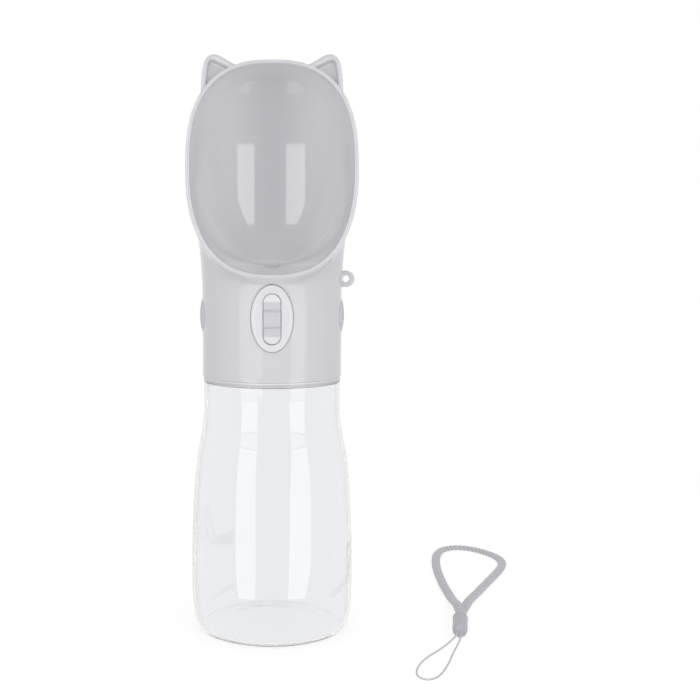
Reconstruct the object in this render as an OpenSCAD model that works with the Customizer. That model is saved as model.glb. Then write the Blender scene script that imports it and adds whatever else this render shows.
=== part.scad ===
// Travel water bottle with a scoop head: press the front key and water
// from the bottle runs through a small valve into the scoop.
// Z is up, the origin is the centre of the base and the scoop faces -Y.

/* [Bottle] */
// Radius of the belly
belly_r = 36.5; // [34:0.5:40]
// Radius of the waist under the head
waist_r = 30.6; // [28:0.2:32]
// Height where the belly starts to narrow upwards
belly_z = 21; // [15:1:35]
// Height of the waist
waist_z = 103; // [90:1:106]
// Height of the shoulder that the head stands over
shoulder_z = 111.8; // [108:0.2:120]
// Radius of the flat base
base_r = 31; // [26:0.5:32]
// Thickness of the clear wall
bottle_wall = 1.6; // [1.2:0.1:2.2]
// Thickness of the base
base_t = 3; // [2:0.5:5]
// Height of the neck above the shoulder
neck_h = 12.6; // [10:0.2:14]
// Thickness of the neck wall
neck_wall = 2; // [1.6:0.1:2.6]

/* [Head skirt] */
// Outer radius of the skirt
skirt_r = 31.2; // [30.6:0.2:33]
// Wall of the moulded shell
shell_wall = 1.6; // [1.2:0.1:2]
// Height of the straight part of the skirt
skirt_h = 34.5; // [32:0.5:38]
// Height of the screw cap's band that shows under the shell
band_h = 3.5; // [2.5:0.5:5]
// Wall of the screw cap
cap_wall = 1.7; // [1.4:0.1:2]
// Thickness of the screw cap's top plate
cap_plate_t = 2.4; // [2:0.2:3]
// Space between the neck and the cap that the thread takes up
thread_space = 1.2; // [1:0.1:1.5]
// Thickness of the neck gasket
gasket_t = 1.3; // [1:0.1:1.6]

/* [Scoop] */
// How far the lip reaches in front of the axis
lip_reach = 34; // [32:0.5:38]
// Height of the lip above the lower edge of the shell
lip_rise = 46.5; // [45:0.5:52]
// Length of the rim from the lip to the top
rim_length = 103.6; // [95:1:112]
// Half the width of the rim
rim_half_w = 37.7; // [34:0.5:40]
// Where the rim is widest, as a share of its length from the lip
rim_widest = 0.53; // [0.48:0.01:0.58]
// Squareness of the rim outline, 2 is an ellipse
rim_power = 2.5; // [2.2:0.1:2.8]
// Lean of the rim plane back from the vertical
rim_lean = 23.9; // [18:0.5:30]
// Width of the rim
rim_t = 2; // [1.6:0.1:2.6]
// Height of the scoop floor above the lower edge of the shell
floor_rise = 50.5; // [50:0.5:54]
// Thickness of the scoop floor
floor_t = 2.4; // [2:0.2:3]

/* [Ears] */
// Radius of an ear's tip
ear_tip_r = 4.6; // [3.6:0.1:5]
// Distance of the tip's centre from the middle
ear_tip_x = 26.4; // [24:0.2:30]
// How far the ear tip's centre stands along the rim plane
ear_tip_s = 102.2; // [100:0.2:105]
// Depth of the hollow in an ear
ear_hollow = 2.2; // [1:0.2:3]
// Width of the raised edge round that hollow
ear_edge = 2.4; // [1.6:0.1:2.8]

/* [Key and bezel] */
// Width of the oval bezel
bezel_w = 18.3; // [17:0.1:20]
// Height of the oval bezel
bezel_h = 29.4; // [28:0.1:30]
// How far the bezel stands out of the skirt
bezel_proud = 0.9; // [0.6:0.1:1.4]
// Width of the key slot
slot_w = 8.1; // [7:0.1:9]
// Height of the key slot
slot_h = 22.1; // [20:0.1:23]
// Height of the key's centre above the lower edge of the shell
key_rise = 27.5; // [27:0.5:29]
// Travel of the key
key_travel = 2.5; // [1.5:0.1:3]
// Gap round the key in its slot
key_gap = 0.2; // [0.1:0.05:0.4]

/* [Grip pads and eyelet] */
// Radius of a grip pad
pad_r = 8.8; // [7:0.2:9.4]
// How far a pad's dome stands out of the skirt
pad_proud = 1.15; // [0.6:0.05:1.6]
// Radius of the lanyard hole
eyelet_hole_r = 1.5; // [1.2:0.1:2]
// Material round the lanyard hole
eyelet_wall = 2.2; // [1.6:0.1:3]
// Thickness of the eyelet lug
eyelet_t = 3; // [2:0.2:4]
// Height of the lanyard hole above the lower edge of the shell
eyelet_rise = 43.6; // [40:0.2:46]

/* [Valve] */
// Radius of the push stem
stem_r = 2; // [1.6:0.1:2.2]
// Running clearance of the stem in its gland
stem_clear = 0.05; // [0.03:0.01:0.1]
// Radius of the hole in the valve seat
seat_bore_r = 3.2; // [3:0.1:3.6]
// Radius of the front chamber
front_r = 5.2; // [5:0.1:5.8]
// Length of the front chamber
front_l = 9.2; // [9:0.2:10]
// Radius of the rear chamber
rear_r = 6.2; // [6:0.1:6.4]
// Wall of the valve body
valve_wall = 1.8; // [1.4:0.1:2]
// Length of the stem gland
gland_l = 3; // [2.6:0.2:4]
// Thickness of the seat web
seat_t = 2; // [1.6:0.2:3]
// Height of the seat's lip
seat_lip = 0.6; // [0.4:0.1:1]
// Thickness of the poppet
poppet_t = 2.5; // [2:0.1:3]
// Length of the spring when the valve is shut
spring_l = 10.5; // [9:0.5:12]
// Radius of the spring wire
wire_r = 0.45; // [0.3:0.05:0.5]
// Bore of the inlet and outlet tubes
tube_bore_r = 3; // [2.6:0.1:3.2]
// Radius of the drain hole in the scoop floor
drain_r = 3.8; // [3:0.1:4.2]

/* [Wrist strap] */
// Width of the braided band
strap_w = 4.6; // [4:0.1:5]
// Thickness of the braided band
strap_t = 2.4; // [2:0.1:2.4]
// Diameter of the string
string_d = 0.8; // [0.6:0.1:1]
// Diameter of the ferrule
ferrule_d = 7; // [6.6:0.1:7]

/* [Hidden] */
$fn = 96;
eps = 0.01;

// Clearances
seat_gap = 0.1;     // between pieces that are pressed or snapped together
head_gap = 0.2;     // under the head, above the bottle's shoulder
mould_gap = 0.15;   // between mouldings that only lie side by side

// Heights of the stack, from the bottle up
neck_top = shoulder_z + neck_h;
band_z = shoulder_z + head_gap;
shell_z = band_z + band_h;
gasket_z = neck_top + seat_gap;
plate_z = gasket_z + gasket_t + seat_gap;
plate_top = plate_z + cap_plate_t;
skirt_top = shell_z + skirt_h;
key_z = shell_z + key_rise;
eyelet_z = shell_z + eyelet_rise;
floor_z = shell_z + floor_rise;

// Radii of the stack, from the shell in
cap_r = skirt_r - shell_wall - seat_gap;
cap_bore_r = cap_r - cap_wall;
neck_r = cap_bore_r - thread_space;
neck_bore_r = neck_r - neck_wall;
band_step = 0.7;      // the screw cap's band stands in from the skirt by this
band_r = skirt_r - band_step;
gasket_r = neck_r + thread_space / 2;

// Places along the valve, from the front wall back
wall_in_y = skirt_r - shell_wall;
flange_y = -(wall_in_y - 1.2);
flange_t = 1.2;
flange_lap = 1.2;
flange_w = slot_w - 2 * key_gap + 2 * flange_lap;
flange_h = slot_h - 2 * key_gap + 2 * flange_lap;
stem_y = flange_y + flange_t;
valve_y = stem_y + key_travel + 0.5;
front_y = valve_y + gland_l;
seat_y = front_y + front_l;
rear_y = seat_y + seat_t;
poppet_y = rear_y + seat_lip + seat_gap;
clip_y = poppet_y + poppet_t;
clip_t = 0.8;
clip_groove_r = 1.3;
clip_r = 2.9;
stem_end_y = clip_y + clip_t + 1;
spring_y = clip_y + 0.05;
plug_y = spring_y + spring_l + 0.05;
plug_l = 4.2;
plug_flange_t = 2;
valve_end_y = plug_y + plug_l;
valve_r = rear_r + valve_wall;
inlet_y = plug_y - tube_bore_r - 0.8;
outlet_y = (front_y + seat_y) / 2;
oring_r = 0.62;
gland_groove_l = 1.8;

// Pad recesses, eyelet and bezel on the skirt
pad_floor_x = wall_in_y - 1.1;
pad_boss_rim = 1.4;
pad_boss_t = 2.1;
eyelet_x = skirt_r + eyelet_hole_r + 0.5;
bezel_face_r = skirt_r + bezel_proud;
bezel_tail_r = norm([flange_w / 2, flange_y]) + mould_gap;
tail_w = bezel_w - 1.4;
tail_h = bezel_h - 1.4;
window_w = tail_w + 2 * mould_gap;
window_h = tail_h + 2 * mould_gap;
window_l = shell_wall + 6;   // from in front of the skirt to well behind its wall

// Tubes and seals between the valve, the cap plate and the scoop floor
seal_t = 1;
tube_r = tube_bore_r + 2;
port_collar_r = tube_r + 2.2;
port_collar_h = 2.6;
inlet_z = plate_top + seal_t + seat_gap;
drain_shoulder = floor_z - 4.4;
outlet_top = drain_shoulder - seal_t - seat_gap;
drain_boss_r = tube_r + 2.4;
drain_socket_r = tube_r + 0.9;
drain_boss_l = 4;

// The scoop's surfaces are cubic curves, one for each angle round the axis
around = 64;
bowl_rings = 12;
side_rings = 9;
roof_rings = 7;
lip_z = shell_z + lip_rise;
pole_y = outlet_y + 4.6;
roof_start = 0.5;

// Curve handles at the side, and what the back and the front add to them
wall_up = [25, 10, -14];      // skirt end of the outer wall
wall_back = [17, 7, -13];     // rim end of the outer wall
bowl_back = [14, 13, -11];    // rim end of the bowl
bowl_flat = [29, 6, -20];     // pole end of the bowl
roof_up = [22, 50, -9];       // wall end of the roof
roof_flat = [22, 8, -14];     // pole end of the roof

// Blend a handle's side, back and front values for an angle
function handle(h, a) = h[0] + h[1] * pow(max(sin(a), 0), 2) + h[2] * pow(max(-sin(a), 0), 2);
function bezier(p, t) =
    pow(1 - t, 3) * p[0] + 3 * t * pow(1 - t, 2) * p[1]
    + 3 * t * t * (1 - t) * p[2] + pow(t, 3) * p[3];
function signed_pow(v, p) = sign(v) * pow(abs(v), p);

// The rim plane: its forward normal, and a point on the rim outline moved in and out
rim_normal = [0, -cos(rim_lean), sin(rim_lean)];
rim_up = [0, sin(rim_lean), cos(rim_lean)];
lip_point = [0, -lip_reach, lip_z];
function rim_flat(a, inset) =
    let (
        high = sin(a) >= 0,
        half_l = rim_length * (high ? 1 - rim_widest : rim_widest) - inset,
        mid = rim_length * rim_widest
    )
    [(rim_half_w - inset) * signed_pow(cos(a), 2 / rim_power),
     mid + half_l * signed_pow(sin(a), 2 / rim_power)];
function rim_point(a, inset, lift) =
    let (p = rim_flat(a, inset))
    lip_point + [p[0], 0, 0] + p[1] * rim_up + lift * rim_normal;
function skirt_point(a, r, z) = [r * cos(a), r * sin(a), z];

bowl_pole = [0, pole_y, floor_z];
roof_pole = [0, pole_y, floor_z - floor_t];
floor_rise_back = 0.17;       // slope of the scoop floor
function floor_handle(a, pole, length) =
    pole + [length * cos(a), length * sin(a), length * sin(a) * floor_rise_back + 0.06 * length];

function outer_curve(a) = [
    skirt_point(a, skirt_r, skirt_top),
    skirt_point(a, skirt_r, skirt_top + handle(wall_up, a)),
    rim_point(a, 1.5, -handle(wall_back, a)),
    rim_point(a, 0, 0)
];
function bowl_curve(a) = [
    rim_point(a, rim_t, 0),
    rim_point(a, rim_t + 0.8, -handle(bowl_back, a)),
    floor_handle(a, bowl_pole, handle(bowl_flat, a)),
    bowl_pole
];
function roof_curve(a) =
    let (r = wall_in_y)
    [
        skirt_point(a, r, skirt_top),
        skirt_point(a, r, skirt_top + handle(roof_up, a)),
        floor_handle(a, roof_pole, handle(roof_flat, a)),
        roof_pole
    ];

// One closed skin: scoop floor, bowl, rim, outer wall, skirt, inner wall and roof
function shell_profile(a) = concat(
    [for (i = [bowl_rings - 1:-1:0]) bezier(bowl_curve(a), i / bowl_rings)],
    [rim_point(a, rim_t - 0.45, 0.55), rim_point(a, 0.45, 0.55)],
    [for (i = [side_rings:-1:0]) bezier(outer_curve(a), i / side_rings)],
    [skirt_point(a, skirt_r, shell_z + 0.4), skirt_point(a, skirt_r - 0.4, shell_z)],
    [skirt_point(a, wall_in_y, shell_z)],
    [for (i = [0:roof_rings - 1]) bezier(roof_curve(a), i / roof_rings)]
);

// Skin of revolution-like rings between two poles
module ring_skin(rings, low_pole, high_pole) {
    n = len(rings[0]);
    m = len(rings);
    points = concat([low_pole], [for (ring = rings) for (p = ring) p], [high_pole]);
    function at(i, j) = 1 + i * n + j % n;
    faces = concat(
        [for (j = [0:n - 1]) [0, at(0, j), at(0, j + 1)]],
        [for (i = [0:m - 2]) for (j = [0:n - 1]) [at(i, j), at(i + 1, j), at(i + 1, j + 1)]],
        [for (i = [0:m - 2]) for (j = [0:n - 1]) [at(i, j), at(i + 1, j + 1), at(i, j + 1)]],
        [for (j = [0:n - 1]) [at(m - 1, j + 1), at(m - 1, j), m * n + 1]]
    );
    polyhedron(points, faces);
}

// Tube of rings along a route; size is the width across and the height
function flat_dir(v) = let (h = norm([v[0], v[1]])) [v[0] / h, v[1] / h, 0];
function route_dir(route, i) =
    flat_dir(route[min(i + 1, len(route) - 1)] - route[max(i - 1, 0)]);
function tube_ring(p, dir, size, sides) =
    [for (k = [0:sides - 1])
        let (c = cos(360 * (k + 0.5) / sides), s = sin(360 * (k + 0.5) / sides))
        p + [-dir[1] * c * size[0] / 2, dir[0] * c * size[0] / 2, s * size[1] / 2]];
module tube(route, size, sides) {
    rings = [for (i = [0:len(route) - 1]) tube_ring(route[i], route_dir(route, i), size, sides)];
    ring_skin(rings, route[0], route[len(route) - 1]);
}

module along_y(y, x = 0, z = key_z) {
    translate([x, y, z]) rotate([-90, 0, 0]) children();
}
module along_x(x, y = 0, z = key_z) {
    translate([x, y, z]) rotate([0, 90, 0]) children();
}
module disc(r, h) { cylinder(r = r, h = h); }
module ring(r_out, r_in, h) {
    difference() {
        disc(r_out, h);
        translate([0, 0, -eps]) disc(r_in, h + 2 * eps);
    }
}
module oval_prism(w, h, depth) {
    linear_extrude(depth)
        polygon([for (i = [0:63]) [w / 2 * cos(i * 5.625), h / 2 * sin(i * 5.625)]]);
}
module stadium_prism(w, h, depth) {
    linear_extrude(depth) {
        square([w, h - w], center = true);
        for (side = [-1, 1]) translate([0, side * (h - w) / 2]) circle(r = w / 2);
    }
}

// ---- bottle ----

// Outline of the bottle moved in by an inset, from the base up to the shoulder
function bottle_outline(inset, low) =
    let (
        r_low = belly_r - inset,
        r_high = waist_r - inset,
        side = [[r_low, belly_z], [r_low, belly_z + 0.85 * (waist_z - belly_z)],
                [r_high, waist_z - 0.24 * (waist_z - belly_z)], [r_high, waist_z]],
        foot = [[base_r - inset, low], [r_low - 2, low], [r_low - 0.4, low + 7], [r_low, belly_z]]
    )
    concat(
        [for (i = [0:7]) bezier(foot, i / 8)],
        [for (i = [0:16]) bezier(side, i / 16)]
    );

module bottle() {
    corner = 1.4;
    outer = concat(
        [[0, 0]], bottle_outline(0, 0),
        [for (a = [0:22.5:90])
            [waist_r - corner + corner * cos(a), shoulder_z - corner + corner * sin(a)]],
        [[neck_r, shoulder_z], [neck_r, neck_top], [0, neck_top]]
    );
    inner = concat(
        [[0, base_t]], bottle_outline(bottle_wall, base_t),
        [[waist_r - bottle_wall, shoulder_z - 3.5], [neck_bore_r, shoulder_z - bottle_wall]],
        [[neck_bore_r, neck_top + 1], [0, neck_top + 1]]
    );
    color([0.93, 0.95, 0.96, 0.4])
        rotate_extrude() difference() {
            polygon(outer);
            polygon(inner);
        }
}

// ---- screw cap and gasket ----

module cap_gasket() {
    color([0.9, 0.9, 0.9])
        translate([0, 0, gasket_z]) ring(gasket_r, neck_bore_r + 0.2, gasket_t);
}

module thread_cap() {
    color([0.84, 0.84, 0.86]) {
        difference() {
            union() {
                translate([0, 0, band_z]) disc(band_r, band_h - seat_gap);
                translate([0, 0, band_z]) disc(cap_r, plate_top - band_z);
                translate([0, inlet_y, plate_top - eps]) disc(port_collar_r, port_collar_h + eps);
            }
            translate([0, 0, band_z - eps]) disc(cap_bore_r, plate_z - band_z + eps);
            translate([0, inlet_y, plate_top]) disc(tube_r + seat_gap, port_collar_h + 1);
            translate([0, inlet_y, plate_z - 1]) disc(tube_bore_r, cap_plate_t + 2);
        }
    }
}

// ---- head shell ----

module ear() {
    front = -1.2;
    post_r = 1.5;
    groove_r = 0.6;
    tip_t = 3.6;
    root_t = 5.4;
    tip = [ear_tip_x, ear_tip_s];
    groove_tip_r = (ear_tip_r - ear_edge) / 2;
    groove_tip = tip + 0.7 * groove_tip_r * [1, 1];
    low = rim_flat(34, 2.2);
    high = rim_flat(69, 1.6);
    module post(at, r, depth) {
        translate([at[0], at[1], front - depth]) cylinder(r = r, h = depth + eps, $fn = 32);
    }
    translate(lip_point) rotate([90 - rim_lean, 0, 0]) difference() {
        hull() {
            post(tip, ear_tip_r, tip_t);
            post(low, post_r, root_t);
            post(high, post_r, root_t);
        }
        hull() translate([0, 0, eps]) {
            post(groove_tip, groove_tip_r, ear_hollow);
            post(rim_flat(46, -0.2), groove_r, ear_hollow);
            post(rim_flat(63, -0.2), groove_r, ear_hollow);
        }
        translate([0, 0, front - 8]) linear_extrude(8)
            polygon([for (i = [0:95]) rim_flat(i * 3.75, rim_t - 0.2)]);
    }
}

module pad_boss(side) {
    intersection() {
        rotate([0, 0, side > 0 ? 0 : 180])
            along_x(pad_floor_x - pad_boss_t) disc(pad_r + pad_boss_rim, pad_boss_t + 2);
        translate([0, 0, shell_z]) disc(skirt_r - 0.5, 2 * skirt_h);
    }
}

module bezel_seat() {
    intersection() {
        translate([0, 0, key_z]) ring(skirt_r + 5, skirt_r + seat_gap / 3, bezel_h);
        along_y(-skirt_r - 6) oval_prism(bezel_w + 2 * seat_gap, bezel_h + 2 * seat_gap, 9);
    }
}

module eyelet() {
    lug_r = eyelet_hole_r + eyelet_wall;
    along_y(-eyelet_t / 2, 0, eyelet_z) {
        translate([eyelet_x, 0, 0]) disc(lug_r, eyelet_t);
        translate([skirt_r - 1, -lug_r, 0]) cube([eyelet_x - skirt_r + 1, 2 * lug_r, eyelet_t]);
    }
}

module head_shell() {
    rows = len(shell_profile(0));
    profiles = [for (k = [0:around - 1]) shell_profile(-360 * k / around)];
    rings = [for (i = [0:rows - 1]) [for (k = [0:around - 1]) profiles[k][i]]];
    color([0.8, 0.8, 0.82])
        difference() {
            union() {
                ring_skin(rings, bowl_pole, roof_pole);
                ear();
                mirror([1, 0, 0]) ear();
                pad_boss(1);
                pad_boss(-1);
                eyelet();
                translate([0, outlet_y, drain_shoulder - drain_boss_l])
                    disc(drain_boss_r, drain_boss_l + 1.4);
            }
            along_y(-skirt_r - 3) oval_prism(window_w, window_h, window_l);
            bezel_seat();
            for (side = [0, 180]) rotate([0, 0, side])
                along_x(pad_floor_x) disc(pad_r + seat_gap, 8);
            along_y(-eyelet_t, eyelet_x, eyelet_z) disc(eyelet_hole_r, 2 * eyelet_t);
            translate([0, outlet_y, drain_shoulder - drain_boss_l - eps])
                disc(drain_socket_r, drain_boss_l + eps);
            translate([0, outlet_y, drain_shoulder - 1]) disc(drain_r, 8);
        }
}

// ---- grip pads ----

module grip_pad(side) {
    dome_h = pad_proud + 0.3;
    edge_x = skirt_r - 0.3;
    dome_r = (pad_r * pad_r + dome_h * dome_h) / (2 * dome_h);
    span = asin(pad_r / dome_r);
    depth = edge_x - pad_floor_x - seat_gap;
    rotate([0, 0, side > 0 ? 0 : 180]) along_x(pad_floor_x + seat_gap)
        rotate_extrude() polygon(concat(
            [[0, 0], [pad_r, 0]],
            [for (i = [0:8])
                let (a = span * (1 - i / 8))
                [dome_r * sin(a), depth + dome_h - dome_r * (1 - cos(a))]]
        ));
}
module grip_pad_left() { color([0.76, 0.76, 0.8]) grip_pad(-1); }
module grip_pad_right() { color([0.76, 0.76, 0.8]) grip_pad(1); }

// ---- bezel and key ----

module key_bezel() {
    module sector(r_out, r_in, w, h) {
        intersection() {
            translate([0, 0, key_z - bezel_h]) ring(r_out, r_in, 2 * bezel_h);
            along_y(-skirt_r - 4) oval_prism(w, h, 12);
        }
    }
    color([0.95, 0.95, 0.95])
        difference() {
            union() {
                sector(bezel_face_r - 0.35, skirt_r + seat_gap, bezel_w, bezel_h);
                sector(bezel_face_r, skirt_r - 1, bezel_w - 2.4, bezel_h - 2.4);
                sector(skirt_r + 0.3, bezel_tail_r, tail_w, tail_h);
            }
            along_y(-skirt_r - 4) stadium_prism(slot_w, slot_h, 12);
        }
}

module water_key() {
    key_w = slot_w - 2 * key_gap;
    key_h = slot_h - 2 * key_gap;
    face_y = -(bezel_face_r - 0.5);
    groove_z = 3.6;
    groove_r = 0.6;
    ramp_z = 7.1;
    color([0.82, 0.81, 0.85])
        difference() {
            union() {
                along_y(face_y) stadium_prism(key_w, key_h, flange_y - face_y + eps);
                along_y(flange_y) stadium_prism(flange_w, flange_h, flange_t);
            }
            for (side = [-1, 1]) {
                along_y(face_y - 0.1, 0, key_z + side * groove_z)
                    translate([-key_w, 0, 0]) rotate([0, 90, 0]) disc(groove_r, 2 * key_w);
                translate([0, face_y, key_z + side * ramp_z]) rotate([-side * 24, 0, 0])
                    translate([-key_w, -4, side > 0 ? 0 : -8]) cube([2 * key_w, 4, 8]);
            }
            along_y(stem_y - 1) disc(stem_r + stem_clear, 2);
        }
}

// ---- moving valve pieces ----

module valve_stem() {
    groove_y = clip_y;
    color([0.9, 0.9, 0.92])
        difference() {
            along_y(stem_y - 1 + seat_gap) disc(stem_r, stem_end_y - stem_y + 1 - seat_gap);
            along_y(groove_y) ring(stem_r + 1, clip_groove_r, clip_t);
        }
}
module stem_clip() {
    color([0.75, 0.75, 0.76])
        along_y(clip_y + 0.04) ring(clip_r, clip_groove_r + 0.05, clip_t - 0.08);
}
module valve_seal() {
    color([0.9, 0.9, 0.9])
        along_y(poppet_y) ring(rear_r - 1.4, stem_r + 0.02, poppet_t);
}
module valve_spring() {
    coil_r = clip_r + wire_r + 0.4;
    turns = 5;
    steps = 12;
    pitch = (spring_l - 2 * wire_r) / turns;
    route = [for (i = [0:turns * steps])
        let (a = 360 * i / steps)
        [coil_r * cos(a), spring_y + wire_r + pitch * i / steps, key_z + coil_r * sin(a)]];
    function wire_ring(i) =
        let (a = 360 * i / steps)
        [for (k = [0:7]) let (b = 45 * k)
            route[i] + wire_r * [cos(b) * cos(a), sin(b), cos(b) * sin(a)]];
    color([0.7, 0.7, 0.72])
        ring_skin([for (i = [0:turns * steps]) wire_ring(i)], route[0], route[turns * steps]);
}

// ---- fixed valve pieces ----

module valve_body() {
    color([0.88, 0.88, 0.9])
        difference() {
            union() {
                along_y(valve_y) disc(valve_r, valve_end_y - valve_y);
                translate([0, inlet_y, inlet_z]) disc(tube_r, key_z - inlet_z);
                translate([0, outlet_y, key_z]) disc(tube_r, outlet_top - key_z);
            }
            along_y(valve_y - 1) disc(stem_r + stem_clear, gland_l + 2);
            along_y(valve_y + (gland_l - gland_groove_l) / 2)
                disc(stem_r + 2 * oring_r + stem_clear + 0.04, gland_groove_l);
            along_y(front_y) disc(front_r, front_l);
            along_y(seat_y - 1) disc(seat_bore_r, seat_t + 2);
            along_y(rear_y) ring(rear_r, seat_bore_r + 1, seat_lip);
            along_y(rear_y + seat_lip) disc(rear_r, valve_end_y - rear_y);
            translate([0, inlet_y, inlet_z - 1]) disc(tube_bore_r, key_z - inlet_z);
            translate([0, outlet_y, key_z]) disc(tube_bore_r, outlet_top - key_z + 1);
        }
}
module o_ring(r_mid) {
    rotate_extrude() translate([r_mid, 0]) circle(r = oring_r, $fn = 32);
}
module stem_oring() {
    color([0.25, 0.25, 0.27])
        along_y(valve_y + gland_l / 2) o_ring(stem_r + stem_clear + 0.02 + oring_r);
}
plug_r = rear_r - 0.05;
module valve_end_cap() {
    groove = 1.6;
    color([0.88, 0.88, 0.9])
        difference() {
            union() {
                along_y(plug_y) disc(plug_r, plug_l + eps);
                along_y(valve_end_y) disc(valve_r, plug_flange_t);
            }
            along_y(plug_y + (plug_l - groove) / 2)
                ring(rear_r + 1, plug_r - 2 * oring_r + 0.02, groove);
        }
}
module end_cap_oring() {
    color([0.25, 0.25, 0.27])
        along_y(plug_y + plug_l / 2) o_ring(plug_r - oring_r + 0.03);
}
module port_seal() {
    color([0.9, 0.9, 0.9])
        translate([0, inlet_y, plate_top + seat_gap / 2]) ring(tube_r, tube_bore_r + 0.1, seal_t);
}
module chimney_seal() {
    color([0.9, 0.9, 0.9])
        translate([0, outlet_y, outlet_top + seat_gap / 2])
            ring(drain_socket_r - 0.1, drain_r, seal_t);
}

// ---- wrist strap, lying on the ground beside the bottle ----

// Where the ferrule's back stands, and how far the strap is turned from the Y axis
strap_x = 86.4;
strap_y = -1.8;
strap_turn = 9;
ferrule_l = 19.5;
// Stations of the band's centre line from the ferrule's back: out along one leg,
// round the loop and back
band_route = [
    [0, 0, 4.8], [0, 5.8, 4.8], [-1.1, 12.8, 4.8], [-2.1, 19.8, 4.5], [-3.5, 27.8, 3.2],
    [-4.9, 37.8, 1.9], [-6.5, 47.8, 1.3], [-9.1, 61.8, 1.3], [-11.5, 77.8, 1.3],
    [-13.3, 93.8, 1.3], [-14.1, 107.8, 1.3], [-13.7, 120.8, 1.3], [-11.3, 130.8, 1.3],
    [-6.9, 136.2, 1.3], [-1.3, 137.8, 1.3], [4.9, 136, 1.3], [11.3, 130.8, 1.3],
    [16.9, 123.8, 1.3], [20.3, 115.8, 1.3], [21.5, 106.8, 1.3], [20.3, 96.8, 1.3],
    [16.9, 82.8, 1.3], [12.5, 66.8, 1.3], [8.3, 50.8, 1.3], [4.3, 36.8, 1.3],
    [1.9, 23.8, 1.4], [0.5, 12.8, 1.8], [0, 5.8, 2.15], [0, 0, 2.15]
];
// Stations of the string: out of the ferrule, round the small loop and back
string_route = [
    [-0.7, -19.5, 3.5], [-0.7, -21, 3.4], [-2.5, -25.2, 2.4], [-5.3, -30.2, 1.2],
    [-8.5, -36.2, 0.5], [-12.7, -45.2, 0.5], [-15.7, -53.8, 0.5], [-17.1, -62.2, 0.5],
    [-16.9, -68.2, 0.5], [-15.1, -72.2, 0.5], [-12.1, -73.6, 0.5], [-8.7, -70.2, 0.5],
    [-6.1, -62.2, 0.5], [-4.1, -51.2, 0.5], [-2.7, -40.2, 0.5], [-1.1, -31.2, 0.9],
    [0.3, -25.2, 2.3], [0.6, -21, 3.4], [0.6, -19.5, 3.5]
];
module lay_strap() {
    translate([strap_x, strap_y, 0]) rotate([0, 0, -strap_turn]) children();
}
module strap_band() {
    color([0.74, 0.74, 0.76]) lay_strap() tube(band_route, [strap_w, strap_t], 8);
}
module strap_string() {
    color([0.85, 0.85, 0.86]) lay_strap() tube(string_route, [string_d, string_d], 8);
}
module strap_ferrule() {
    r = ferrule_d / 2;
    tip_r = 1.6;
    color([0.74, 0.73, 0.77]) lay_strap()
        translate([0, 0, r]) rotate([90, 0, 0])
            rotate_extrude() polygon(concat(
                [[0, 0], [r, 0]],
                [for (a = [0:15:90])
                    [r - tip_r + tip_r * cos(a), ferrule_l - tip_r + tip_r * sin(a)]],
                [[0, ferrule_l]]
            ));
}

bottle();
cap_gasket();
thread_cap();
head_shell();
grip_pad_left();
grip_pad_right();
key_bezel();
water_key();
valve_stem();
stem_clip();
valve_seal();
valve_spring();
valve_body();
stem_oring();
valve_end_cap();
end_cap_oring();
port_seal();
chimney_seal();
strap_band();
strap_ferrule();
strap_string();
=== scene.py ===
"""Looks of a travel water bottle for dogs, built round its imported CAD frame.

Sizes are in millimetres until a mesh is written. Z is up, the scoop faces -Y. The
sizes in capitals below are shared by several pieces; each class holds its own.
"""

import logging
import math
from dataclasses import dataclass, field
from enum import Enum
from typing import Any, Sequence

import bpy
import numpy as np
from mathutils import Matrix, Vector
from mathutils.bvhtree import BVHTree


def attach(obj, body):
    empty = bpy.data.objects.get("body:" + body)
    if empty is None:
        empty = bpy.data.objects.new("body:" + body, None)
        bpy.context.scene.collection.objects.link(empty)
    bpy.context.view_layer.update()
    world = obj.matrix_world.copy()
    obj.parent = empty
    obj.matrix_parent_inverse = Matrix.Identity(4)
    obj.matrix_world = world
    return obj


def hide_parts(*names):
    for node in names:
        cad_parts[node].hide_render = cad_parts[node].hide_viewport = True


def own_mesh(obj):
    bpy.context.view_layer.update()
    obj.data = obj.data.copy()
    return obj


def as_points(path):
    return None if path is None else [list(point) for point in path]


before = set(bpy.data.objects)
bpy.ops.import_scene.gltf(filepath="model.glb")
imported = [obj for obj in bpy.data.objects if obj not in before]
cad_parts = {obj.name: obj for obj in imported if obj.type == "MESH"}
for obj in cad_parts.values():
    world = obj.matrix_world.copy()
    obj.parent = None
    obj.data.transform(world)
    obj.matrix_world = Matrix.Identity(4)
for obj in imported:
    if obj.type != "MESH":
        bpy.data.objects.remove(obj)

LOG = logging.getLogger("bottle")
MM = 0.001
TURN = 2.0 * math.pi
NEAR_AXIS = 0.02
KEY_Z = 143.0
SKIRT_R = 31.2
THREAD_PITCH = 4.0
THREAD_DEPTH = 0.85
THREAD_STEP = 0.16
Array = np.ndarray
Colour = tuple[float, float, float]


class Body(str, Enum):
    """The moving bodies of the frame."""

    BOTTLE = "bottle"
    HEAD = "head"
    KEY = "key"


# ---------------------------------------------------------------- shaders


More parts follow.
